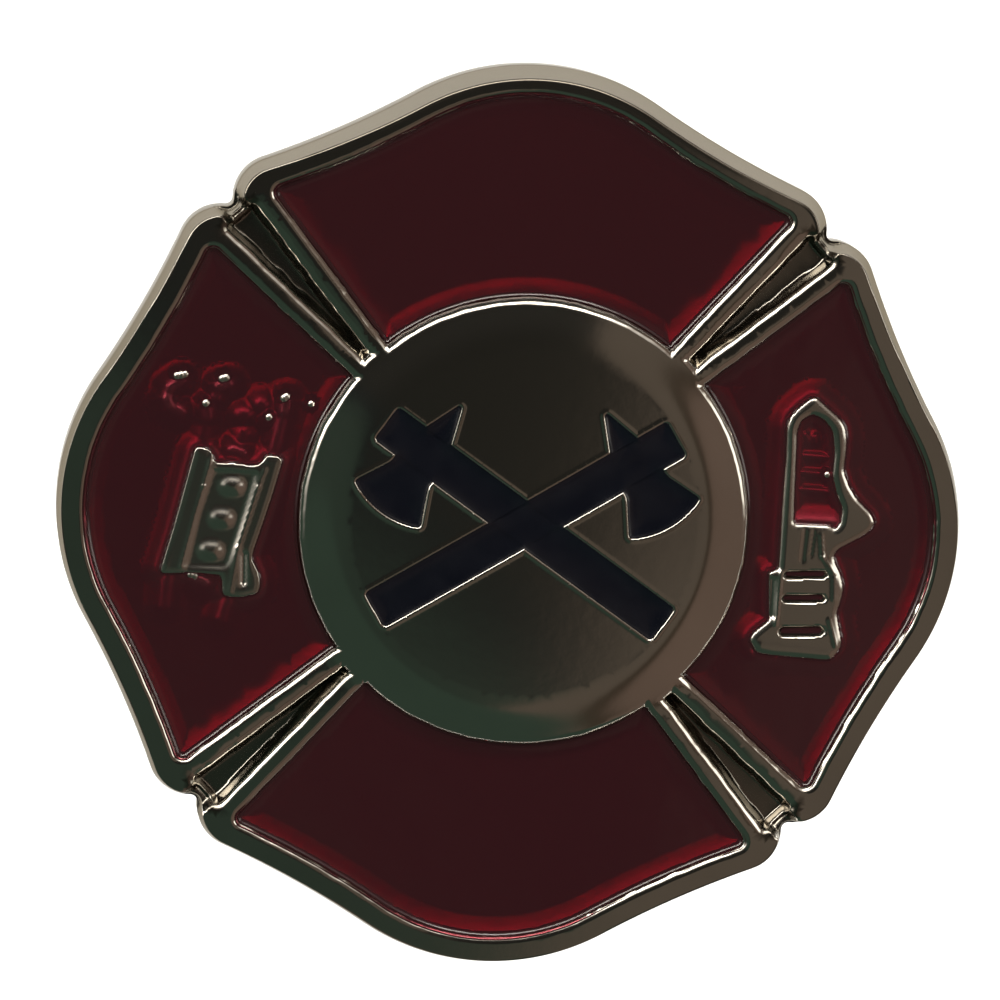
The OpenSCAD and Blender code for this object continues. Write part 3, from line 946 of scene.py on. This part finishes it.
def nickel(name, bright, dull_and_shaded, roughness, wave_height):
    """Nickel plate with shade painted into its colour where an attribute marks it, rougher there,
    and darker in soft clouds.
    """
    material, tree, shader = new_material(name)
    painted_shade, satin = (
        add_node(tree, "ShaderNodeAttribute", attribute_name=kind).outputs["Fac"]
        for kind in ("painted_shade", "satin")
    )
    clouds = noise(tree, 260.0, 4.0)
    swell = noise(tree, 2600.0, 2.0)
    grain = noise(tree, 14000.0, 3.0)
    patchy = maths(tree, "MULTIPLY", clouds, CLOUDY)
    # Painted shade from the attribute, added to the random clouds, darkens the colour
    dark = maths(tree, "ADD", patchy, painted_shade, use_clamp=True)
    worn = add_node(tree, "ShaderNodeMapRange", {0: dark, 3: roughness, 4: roughness + WORN})
    soft = waves(tree, swell, wave_height)
    fill_inputs(tree, shader, {
        "Base Color": mixed(tree, dark, bright, dull_and_shaded),
        "Roughness": maths(tree, "MULTIPLY_ADD", satin, SATIN, worn),
        "Normal": waves(tree, grain, GRAIN_H, Normal=soft),
        "Metallic": 1.0,
        "Specular Tint": (0.45, 0.43, 0.40, 1),
    })
    return material


badge_metal = nickel("nickel_plate", (0.72, 0.69, 0.63), (0.16, 0.145, 0.12), 0.10, 0.001)
clutch_metal = nickel("clutch_plate", (0.72, 0.71, 0.68), (0.42, 0.41, 0.38), 0.16, 0.006)
print("metals:", badge_metal.name, clutch_metal.name)

# %% [markdown]
# ## Rows of equal marks
# The ladder's three rungs stand up and the hydrant's three joints are sunk: rows of equal
# marks, which a die cutter punches one after another. Geometry Nodes do the same. A line
# of points carries short slots, and the face near each slot is pressed down, or pushed up
# where the depth is negative.

# %% Helpers for Geometry Nodes
def open_tree(name, inputs):
    """A new tree with inputs of given names and kinds, and what these inputs give."""
    tree = bpy.data.node_groups.new(name, "GeometryNodeTree")
    for label, kind in inputs.items():
        tree.interface.new_socket(label, in_out="INPUT", socket_type="NodeSocket" + kind)
    tree.interface.new_socket("Piece", in_out="OUTPUT", socket_type="NodeSocketGeometry")
    return tree, add_node(tree, "NodeGroupInput").outputs


def close_tree(tree, shape, metal):
    """Ends a tree with real geometry and its material."""
    real = add_node(tree, "GeometryNodeRealizeInstances", {"Geometry": shape})
    finished = add_node(tree, "GeometryNodeSetMaterial", {"Geometry": real, "Material": metal})
    add_node(tree, "NodeGroupOutput", {0: finished})
    return tree


def run_tree(holder, tree, sizes):
    """Runs a tree on an object and gives the result as a plain mesh."""
    modifier = holder.modifiers.new(tree.name, "NODES")
    modifier.node_group = tree
    sockets = {s.name: s.identifier for s in tree.interface.items_tree if s.in_out == "INPUT"}
    for name, value in sizes.items():
        modifier[sockets[name]] = value
    depsgraph = bpy.context.evaluated_depsgraph_get()
    finished = bpy.data.meshes.new_from_object(holder.evaluated_get(depsgraph))
    holder.modifiers.clear()
    return finished


# %% A tree that presses a row of hollows
def build_press_tree():
    """Slots on a line of points, and the face pressed down near them."""
    tree, given = open_tree("press_row_of_hollows", {
        "Face": "Geometry", "Count": "Int", "First": "Vector", "Step": "Vector",
        "Half Slot": "Vector", "Half Width": "Float", "Depth": "Float", "Above": "Float",
        "Metal": "Material",
    })
    row = add_node(
        tree, "GeometryNodeMeshLine",
        {"Count": given["Count"], "Start Location": given["First"], "Offset": given["Step"]},
    )
    near_end = add_node(
        tree, "ShaderNodeVectorMath", {0: given["Half Slot"], "Scale": -1.0}, operation="SCALE",
    )
    slot = add_node(
        tree, "GeometryNodeCurvePrimitiveLine", {"Start": near_end, "End": given["Half Slot"]},
    )
    slot_mesh = add_node(tree, "GeometryNodeCurveToMesh", {"Curve": slot})
    slots = add_node(
        tree, "GeometryNodeInstanceOnPoints", {"Points": row, "Instance": slot_mesh},
    )
    real_slots = add_node(tree, "GeometryNodeRealizeInstances", {"Geometry": slots})
    place = add_node(tree, "GeometryNodeInputPosition")
    x, y, z = add_node(tree, "ShaderNodeSeparateXYZ", {0: place}).outputs
    slot_level = add_node(tree, "ShaderNodeSeparateXYZ", {0: given["First"]}).outputs[2]
    flat = add_node(tree, "ShaderNodeCombineXYZ", {0: x, 1: y, 2: slot_level})
    near = add_node(
        tree, "GeometryNodeProximity", {0: real_slots, "Sample Position": flat},
        target_element="EDGES",
    )
    press = add_node(
        tree, "ShaderNodeMapRange",
        {0: near.outputs["Distance"], 1: given["Half Width"], 2: 0.0, 3: 0.0, 4: given["Depth"]},
        interpolation_type="SMOOTHSTEP",
    )
    move = add_node(tree, "ShaderNodeCombineXYZ", {2: maths(tree, "MULTIPLY", press, -1.0)})
    on_top = add_node(
        tree, "FunctionNodeCompare", {0: z, 1: given["Above"]},
        data_type="FLOAT", operation="GREATER_THAN",
    )
    pressed = add_node(
        tree, "GeometryNodeSetPosition",
        {"Geometry": given["Face"], "Selection": on_top, "Offset": move},
    )
    return close_tree(tree, pressed, given["Metal"])


# First x, first y, step x, step y, count, half slot x, half slot y, half width, depth.
# A negative depth raises: the ladder's stout rungs are pushed up.
HOLLOW_ROWS = [
    (-7.88, 0.57, -0.24, -0.92, 3, 0.08, 0.0, 0.36, -0.105),
    (8.37, -1.10, -0.01, -0.68, 2, 0.50, 0.03, 0.16, 0.28),
    (8.37, -2.72, 0.0, -0.7, 1, 0.50, 0.03, 0.20, 0.28),
]
# Only what stands this far over a cell's floor is pressed
PRESS_OVER = 0.1
press_tree = build_press_tree()
for x, y, step_x, step_y, count, slot_x, slot_y, half_width, depth in HOLLOW_ROWS:
    badge.data = run_tree(badge, press_tree, {
        "Count": count,
        "First": (x * MM, y * MM, BACK_Z * MM),
        "Step": (step_x * MM, step_y * MM, 0.0),
        "Half Slot": (slot_x * MM, slot_y * MM, 0.0),
        "Half Width": half_width * MM,
        "Depth": depth * MM,
        "Above": (BACK_Z + CELL_FLOOR + PRESS_OVER) * MM,
        "Metal": badge_metal,
    })
print("hollows pressed:", sum(row[4] for row in HOLLOW_ROWS))

# %% [markdown]
# The face's normals come from the landscape, except where the punch has changed it. There,
# and on the side and the back, the mesh's own normals are right. Two attributes tell the
# metal where shade is painted into its colour, on its side and trimmed edge, in the grooves,
# the pressed slots and the lips at the grooves' ends, and where it kept the die's satin
# finish, as under the enamel.

# %% Normals, painted shade and satin of the badge
# How strong the painted shade is on the side and edge, in the grooves, in the slots and on the
# lips
SIDE_SHADE, GROOVE_SHADE, SLOT_SHADE, LIP_SHADE = 1.0, 0.6, 0.9, 0.75
# Between which two distances or depths each painted shade comes up, and the edge's fades
GROOVE_SHADE_AT, SLOT_SHADE_AT, EDGE_SHADE_AT = (0.02, 0.16), (0.02, 0.1), (0.37, 0.43)
LIP_SHADE_FROM, LIP_SHADE_SIDE = 0.15, -0.3
FLOOR_SATIN, BARE_SATIN, BARE_POLISH = (0.04, 0.1), (-0.05, 0.02), 0.65


def read_vectors(name, source):
    """One vector for each point of a mesh."""
    values = np.zeros(len(source) * 3)
    source.foreach_get(name, values)
    return values.reshape(-1, 3)


points = read_vectors("co", badge.data.vertices) / MM - [0, 0, BACK_Z]
normals = read_vectors("vector", badge.data.vertex_normals)
on_face = np.arange(len(points)) < len(face_points)
pressed = face_points[:, 2] - points[on_face, 2]
kept = on_face.copy()
kept[on_face] = np.abs(pressed) < 1e-4
kept[loop] = False
normals[kept] = surface_normals(metal_height, points[kept, :2])
badge.data.normals_split_custom_set_from_vertices(normals.tolist())

flat = points[on_face, :2]
in_groove = groove_in(flat)
# Painted shade in the grooves
dark = GROOVE_SHADE * smoothstep(*GROOVE_SHADE_AT, in_groove)
# Painted shade in the hydrant's pressed slots
dark += SLOT_SHADE * smoothstep(*SLOT_SHADE_AT, pressed)
# Painted shade on the trimmed edge, which dims its reflections and glint
edge = SIDE_SHADE * (1 - smoothstep(*EDGE_SHADE_AT, edge_depth(flat)))
# Painted shade on the lips at the grooves' ends
lip = LIP_SHADE * smoothstep(groove_end - LIP_SHADE_FROM, groove_end, diagonal(flat)[0])
lip *= in_groove > LIP_SHADE_SIDE
# The side and the back get full painted shade
painted_shade = np.full(len(points), SIDE_SHADE)
painted_shade[on_face] = np.clip(np.max([dark, edge, lip], axis=0), 0, 1)
satin = np.zeros(len(points))
polished = BARE_POLISH * smoothstep(*BARE_SATIN, bare_in(flat))
satin[on_face] = smoothstep(*FLOOR_SATIN, pool_in(flat)) * (1 - polished)
for name, values in (("painted_shade", painted_shade), ("satin", satin)):
    attribute = badge.data.attributes.new(name, "FLOAT", "POINT")
    attribute.data.foreach_set("value", values.astype(np.float32))
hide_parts("plate")
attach(badge, "root")
print("landscape normals:", int(kept.sum()), "of", len(kept))

# %% [markdown]
# ## Red enamel
# This enamel is a clear red glaze over bright metal. It is made as a real body of liquid:
# its surface is lowest in the middle of a cell and creeps up the walls and the figures, and
# its underside lies inside the metal, so that light goes through the glaze, meets the metal
# and comes back. The deeper the glaze, the darker the red.

# %% Surface of the red enamel
ENAMEL_LEVEL, ENAMEL_SWAY, ENAMEL_HILLS = 1.44, 0.006, (2.2, 8)
# Height and reach of the thin creep at a wall
CREEP_H, CREEP_RUN = 0.11, 0.08
FIGURE_CREEP = 0.06
# The surface dives below bare metal by this much, over this distance
BARE_SINK, SINK_RUN = 0.12, 0.12
ENAMEL_UNDER = 1.02
OVER_WALL = -0.05
UNDER_SHOULDER = DISC_R + OVER_WALL - 0.02


def creep_at(inside, height, run):
    """Height of enamel that creeps up a wall."""
    return height * np.exp(-np.maximum(inside, OVER_WALL) / run)


def red_height(p):
    """Height of the red enamel's surface above the badge's back."""
    bare = bare_in(p)
    creep = creep_at(pool_in(p), CREEP_H, CREEP_RUN)
    creep += FIGURE_CREEP * np.exp(np.minimum(bare, 0) / CREEP_RUN)
    sway = ENAMEL_SWAY * unevenness(p, *ENAMEL_HILLS)
    return ENAMEL_LEVEL + creep + sway - BARE_SINK * smoothstep(0, SINK_RUN, bare)


def slab(name, p, triangles, height, under):
    """A closed body under a landscape, down to a flat underside."""
    triangles = facing_up(p, triangles)
    used, triangles = np.unique(triangles, return_inverse=True)
    p, triangles = p[used], triangles.reshape(-1, 3)
    rim = rim_of(triangles)
    count = len(p)
    shell = [np.column_stack([p, height(p)]), np.column_stack([p, np.full(count, under)])]
    faces = triangles.tolist() + (triangles[:, ::-1] + count).tolist()
    faces += [(b, a, a + count, b + count) for a, b in rim]
    piece = new_piece(name, np.vstack(shell), faces)
    normals = read_vectors("vector", piece.data.vertex_normals)
    inner = np.arange(2 * count) < count
    inner[rim.ravel()] = False
    normals[inner] = surface_normals(height, p[inner[:count]])
    piece.data.normals_split_custom_set_from_vertices(normals.tolist())
    return piece


def in_arm(p, arm):
    """Which places lie in an arm: 0 top, 1 right, 2 bottom, 3 left."""
    x, y = p.T
    way = [y, x, -y, -x][arm]
    return way > np.abs([x, y, x, y][arm])


# %% [markdown]
# The finish is a plain glass shader with a red absorbing body: constants on the shader's
# own sockets, so that the colour survives in the exported model. A hint of haze comes from
# the noise in its gloss.

# %% Red glaze
RIPPLE_H = 0.004


def red_glaze():
    """Clear red enamel with a little haze and fine ripples."""
    material, tree, shader = new_material("red_glaze")
    haze = noise(tree, 900.0, 3.0)
    ripple = noise(tree, 1100.0, 1.0)
    fill_inputs(tree, shader, {
        "Base Color": (0.26, 0.072, 0.088, 1),
        "Roughness": add_node(tree, "ShaderNodeMapRange", {0: haze, 3: 0.02, 4: 0.09}),
        "Normal": waves(tree, ripple, RIPPLE_H),
        "Transmission Weight": 0.961,
        "IOR": 1.52,
    })
    body = add_node(
        tree, "ShaderNodeVolumeAbsorption", {"Color": (0.75, 0.02, 0.28, 1), "Density": 10000.0},
    )
    output = next(node for node in tree.nodes if node.type == "OUTPUT_MATERIAL")
    fill_inputs(tree, output, {"Volume": body})
    return material


glaze = red_glaze()
print("glaze:", glaze.name)

# %% The four red enamels
GLAZE_STEPS = [
    OVER_WALL, -0.02, 0, 0.02, 0.04, 0.06, 0.09, 0.13, 0.18, 0.24, 0.32, 0.42, 0.55,
]
RING_STEPS = [-0.35, -0.1, 0, 0.03, 0.07, 0.12, 0.18, 0.26, 0.38, 0.55]
GLAZE_COARSE, GLAZE_FINE = 0.3, 0.08
FRAME_INSET = RIM_W + OVER_WALL - 0.05

p, triangles = triangulate(
    [line for step in GLAZE_STEPS for line in cell_lines(step)],
    [disc_ring(DISC_R + step) for step in RING_STEPS] + [outline(FRAME_INSET)],
    np.vstack([over_badge(GLAZE_COARSE, RIM_W), over_figures(GLAZE_FINE)]),
)
middle = p[triangles].mean(axis=1)
in_cell = (cell_in(middle) > OVER_WALL) & (from_disc(middle) > UNDER_SHOULDER)
for arm, node in enumerate(["enamel_top", "enamel_right", "enamel_bottom", "enamel_left"]):
    here = triangles[in_cell & in_arm(middle, arm)]
    piece = slab("red_" + node, p, here, red_height, ENAMEL_UNDER)
    piece.data.materials.append(glaze)
    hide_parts(node)
    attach(piece, "root")
    print(piece.name, len(piece.data.polygons), "faces")

# %% [markdown]
# ## Black enamel
# The black enamel is opaque, so only its surface matters. It follows the dome a little
# below the metal, and creeps up at the edge of the mark. Its body could be made as clear as
# the red one, but no light comes back from it, so a plain dark shader gives the same look.

# %% Black enamel
BLACK_BELOW, BLACK_UNDER = 0.1, PLATE_T - 0.2
BLACK_CREEP_H, BLACK_CREEP_RUN = 0.055, 0.13
BLACK_SWAY, BLACK_HILLS = 0.004, (1.6, 9)
MARK_PITCH = 0.07


def black_height(p):
    """Height of the black enamel's surface above the badge's back."""
    creep = creep_at(mark_in(p), BLACK_CREEP_H, BLACK_CREEP_RUN)
    sway = BLACK_SWAY * unevenness(p, *BLACK_HILLS)
    return top_height(p) - BLACK_BELOW + creep + sway


def black_enamel():
    """Opaque black enamel with a little dust in it."""
    material, tree, shader = new_material("black_glaze")
    dust = noise(tree, 1400.0, 5.0)
    ripple = noise(tree, 1500.0, 2.0)
    fill_inputs(tree, shader, {
        "Base Color": mixed(tree, dust, (0.0008, 0.001, 0.002), (0.002, 0.0022, 0.0035)),
        "Roughness": add_node(tree, "ShaderNodeMapRange", {0: dust, 3: 0.08, 4: 0.3}),
        "Normal": waves(tree, ripple, RIPPLE_H),
        "IOR": 1.5,
    })
    return material


fill = grid(DISC_C - DISC_R, DISC_C + DISC_R, MARK_PITCH)
fill = fill[mark_in(fill) > -MARK_WALL]
p, triangles = triangulate([], axes, fill)
here = triangles[mark_in(p[triangles].mean(axis=1)) > -MARK_EDGE]
mark = slab("black_axes", p, here, black_height, BLACK_UNDER)
mark.data.materials.append(black_enamel())
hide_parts("emblem_enamel")
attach(mark, "root")
print(mark.name, len(mark.data.polygons), "faces")

# %% [markdown]
# ## Turned pieces
# The clutch and the post are round, so each one is a profile turned about its axis. One
# Geometry Nodes tree does both: it lays a grid over the angle and the length of the
# profile, and wraps the grid round the axis.

# %% A tree that turns a profile
def build_turning_tree():
    """A grid over angle and profile, wrapped round the axis."""
    tree, given = open_tree("turn_a_profile", {
        "Profile": "Geometry", "Sides": "Int", "Rings": "Int", "Metal": "Material",
    })
    columns = maths(tree, "ADD", given["Sides"], 1.0)
    sheet = add_node(
        tree, "GeometryNodeMeshGrid",
        {"Size X": 1.0, "Size Y": 1.0, "Vertices X": columns, "Vertices Y": given["Rings"]},
    )
    place = add_node(tree, "GeometryNodeInputPosition")
    share = add_node(
        tree, "ShaderNodeVectorMath", {0: place, 1: (0.5, 0.5, 0)}, operation="ADD",
    )
    shares = add_node(tree, "ShaderNodeSeparateXYZ", {0: share}).outputs
    on_profile = add_node(
        tree, "GeometryNodeSampleCurve",
        {"Curves": given["Profile"], "Factor": shares[1]}, mode="FACTOR",
    )
    angle = maths(tree, "MULTIPLY", shares[0], 2 * np.pi)
    turned = add_node(
        tree, "ShaderNodeVectorRotate",
        {"Vector": on_profile.outputs["Position"], "Angle": angle}, rotation_type="Z_AXIS",
    )
    wrapped = add_node(tree, "GeometryNodeSetPosition", {"Geometry": sheet, "Position": turned})
    closed = add_node(
        tree, "GeometryNodeMergeByDistance", {"Geometry": wrapped, "Distance": 1e-6},
    )
    smooth = add_node(tree, "GeometryNodeSetShadeSmooth", {"Geometry": closed})
    return close_tree(tree, smooth, given["Metal"])


TURNED_SIDES = 96


def turned_piece(name, profile, rings, metal):
    """A turned piece from its profile, as radius and height above the table."""
    curve = bpy.data.curves.new(name, "CURVE")
    curve.dimensions = "3D"
    line = curve.splines.new("POLY")
    line.points.add(len(profile) - 1)
    for point, (radius, height) in zip(line.points, profile):
        point.co = (radius * MM, 0, height * MM, 1)
    holder = new_object(name + "_profile", curve)
    sizes = {"Sides": TURNED_SIDES, "Rings": rings, "Metal": metal}
    mesh = run_tree(holder, turning_tree, sizes)
    bpy.data.objects.remove(holder)
    piece = new_object(name, mesh)
    print(name, len(mesh.polygons), "faces")
    return piece


turning_tree = build_turning_tree()

# %% [markdown]
# The clutch is the keeper behind the cloth. The photograph hides it, so it keeps the plain
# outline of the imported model: a flat back, a groove for the fingers and a bore for the
# post.

# %% The clutch
CLUTCH_R, CLUTCH_H = 5.5, 6.5
FOOT_ROUND = 0.9
TURNED_CORNER = 0.12
CLUTCH_RINGS, POST_RINGS = 220, 90
# Distance inside the clutch's radius, share of its height
CLUTCH_WALL = [
    (0, 0.5), (0.35, 0.56), (1.5, 0.6), (1.5, 0.7),
    (0.9, 0.74), (0.8, 0.9), (1.3, 0.985), (1.8, 1),
]
BORE_R, BORE_FLOOR = 0.6, 0.45

foot = np.radians(np.linspace(0, 90, 6))
foot_r = CLUTCH_R - FOOT_ROUND
clutch_profile = [(0, 0)]
clutch_profile += [(foot_r + FOOT_ROUND * np.sin(a), FOOT_ROUND * (1 - np.cos(a))) for a in foot]
clutch_profile += [(CLUTCH_R - inside, CLUTCH_H * share) for inside, share in CLUTCH_WALL]
clutch_profile += [(BORE_R, CLUTCH_H), (BORE_R, BORE_FLOOR), (0, BORE_FLOOR)]
clutch_profile = soften(clutch_profile, TURNED_CORNER)
clutch = turned_piece("turned_clutch", clutch_profile, CLUTCH_RINGS, clutch_metal)
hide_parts("clutch")
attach(clutch, "root")

# %% [markdown]
# The post is soldered to the badge's back, with a small cone of solder round its root, and
# its point is blunt. It is a piece of its own here, in the badge's metal.

# %% The post
POST_R, POST_LEN, POINT_H = 0.55, 7.2, 1.2
SOLDER_R, SOLDER_H = 1.2, 0.4
post_end = BACK_Z - POST_LEN

# Radius and height: in the back, the solder's foot and shoulder, the shaft, the blunt point
post_profile = [
    (0, BACK_Z + 0.1), (SOLDER_R, BACK_Z + 0.02), (SOLDER_R * 0.75, BACK_Z - 0.5 * SOLDER_H),
    (POST_R, BACK_Z - SOLDER_H), (POST_R, post_end + POINT_H),
    (POST_R * 0.3, post_end + 0.06), (0, post_end),
]
post_profile = soften(post_profile, TURNED_CORNER)
post = turned_piece("soldered_post", post_profile, POST_RINGS, badge_metal)
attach(post, "root")

# %% [markdown]
# ## Table and camera
# The pin lies on its clutch on a plain white table. The photograph was taken from nearly
# straight above, a little from the upper left, and the pin is turned a little in it.

# %% Table
TABLE = 1.5
table_mesh = bpy.data.meshes.new("table")
table_mesh.from_pydata([(*corner, 0) for corner in TABLE * SQUARE], [], [(0, 1, 2, 3)])
table = new_object("table", table_mesh)
table_white, tree, shader = new_material("table_white")
fill_inputs(tree, shader, {"Base Color": (0.9, 0.9, 0.89, 1), "Roughness": 0.8})
table_mesh.materials.append(table_white)

# %% Camera
PIN_TURN = np.radians(3.9)
CAMERA_SLANT = Vector((-0.109, 0.15, 1.0))
CAMERA_AWAY = 0.16
SENSOR = 36
PHOTO_SPAN = 27.92
face_centre = Vector((-0.371, 0.531, BACK_Z + 1.3)) * MM

camera_data = bpy.data.cameras.new("camera")
camera_data.sensor_width = SENSOR
camera_data.lens = SENSOR * CAMERA_AWAY / (PHOTO_SPAN * MM)
camera_data.clip_start = 0.001
camera = new_object("camera", camera_data)
backwards = CAMERA_SLANT.normalized()
right = Vector((-np.sin(PIN_TURN), np.cos(PIN_TURN), 0)).cross(backwards).normalized()
up = backwards.cross(right)
camera.matrix_world = Matrix((right, up, backwards)).transposed().to_4x4()
camera.location = face_centre + backwards * CAMERA_AWAY
bpy.context.scene.camera = camera
print("camera at", [round(c / MM, 1) for c in camera.location], "mm")

# %% [markdown]
# ## The room that the metal reflects
# Bright metal has no look of its own: it shows the room. The room could be built of panels
# and lamps, but soft patches of colour on the sky do the same and stay easy to move. It is
# dark above the pin, so the flat metal looks nearly black. A lamp with its halo stands at
# the top, and only slopes that face it shine. A green and a beige wall tint the rest. A
# lamp of its own lights the table.

# %% The table's lamp
lamp_data = bpy.data.lights.new("table_light", "AREA")
lamp_data.size = 1.2
lamp_data.energy = 26.0
lamp = new_object("table_light", lamp_data)
lamp.location = (0, 0, 1)
# It lights the table without being reflected in the metal.
lamp.visible_glossy = False
lamp.visible_transmission = False

# %% The empty sky, and how to divide it
world = bpy.data.worlds.new("studio")
bpy.context.scene.world = world
world.use_nodes = True
tree = world.node_tree
tree.nodes.clear()
way = add_node(tree, "ShaderNodeTexCoord").outputs["Generated"]
sky_height = add_node(tree, "ShaderNodeSeparateXYZ", {0: way}).outputs[2]
level_way = add_node(tree, "ShaderNodeVectorMath", {0: way, 1: (1, 1, 0)}, operation="MULTIPLY")
compass_way = add_node(tree, "ShaderNodeVectorMath", {0: level_way}, operation="NORMALIZE")


def share_of(value, low, high):
    """Soft step of a value; it falls where low is the larger one."""
    return add_node(
        tree, "ShaderNodeMapRange", {0: value, 1: low, 2: high}, interpolation_type="SMOOTHSTEP",
    )


def towards(direction, low, high, seen=way):
    """How far the view turns towards a direction, from 0 to 1."""
    direction = Vector(direction).normalized()
    dot = add_node(tree, "ShaderNodeVectorMath", {0: seen, 1: direction}, operation="DOT_PRODUCT")
    return share_of(dot.outputs["Value"], low, high)


# %% Walls, horizon, lamp and window
LAMP, WINDOW = (-0.42, 0.9, 0), (0.97, 0.2, 0)
BEIGE_WALL, GREEN_WALL = (0.98, -0.2, 0), (-0.62, -0.78, 0)
DARK_ROOM = (0.0186, 0.0176, 0.0147)
HORIZON, HORIZON_H = (0.25, 0.24, 0.22), 0.12
# Direction, the turn towards it at which a patch starts and is full, colour
WALLS = [
    (GREEN_WALL, 0.055, 0.080, (0.010, 0.011, 0.012)),
    (GREEN_WALL, 0.085, 0.130, (0.030, 0.045, 0.034)),
    (BEIGE_WALL, 0.170, 0.200, (0.115, 0.092, 0.072)),
    (BEIGE_WALL, 0.360, 0.390, (0.045, 0.033, 0.022)),
    (BEIGE_WALL, 0.420, 0.460, (0.150, 0.105, 0.082)),
    (GREEN_WALL, 0.280, 0.360, (0.037, 0.060, 0.044)),
]
# The same, with the heights where it starts and is full at its foot, and at its top
BRIGHT = [
    (LAMP, 0.1, 0.65, (0.3, 0.5), (0.85, 0.7), (1.3, 1.2, 1.1)),
    (LAMP, 0.5, 0.68, (0.43, 0.52), (0.74, 0.64), (9.0, 8.5, 7.8)),
    (WINDOW, 0.955, 0.985, (0.25, 0.35), (0.75, 0.65), (2.2, 2.1, 1.9)),
]

sky = DARK_ROOM
for direction, low, high, colour in WALLS:
    sky = mixed(tree, towards(direction, low, high), sky, colour)
sky = mixed(tree, share_of(sky_height, HORIZON_H, 0.0), sky, HORIZON)
for direction, low, high, bottom, top, colour in BRIGHT:
    band = maths(tree, "MULTIPLY", share_of(sky_height, *bottom), share_of(sky_height, *top))
    patch = maths(tree, "MULTIPLY", band, towards(direction, low, high, compass_way))
    sky = mixed(tree, patch, sky, colour)
background = add_node(tree, "ShaderNodeBackground", {"Color": sky, "Strength": 1.0})
add_node(tree, "ShaderNodeOutputWorld", {0: background})
bpy.context.scene.view_settings.view_transform = "Standard"
print("patches on the sky:", len(WALLS) + len(BRIGHT))
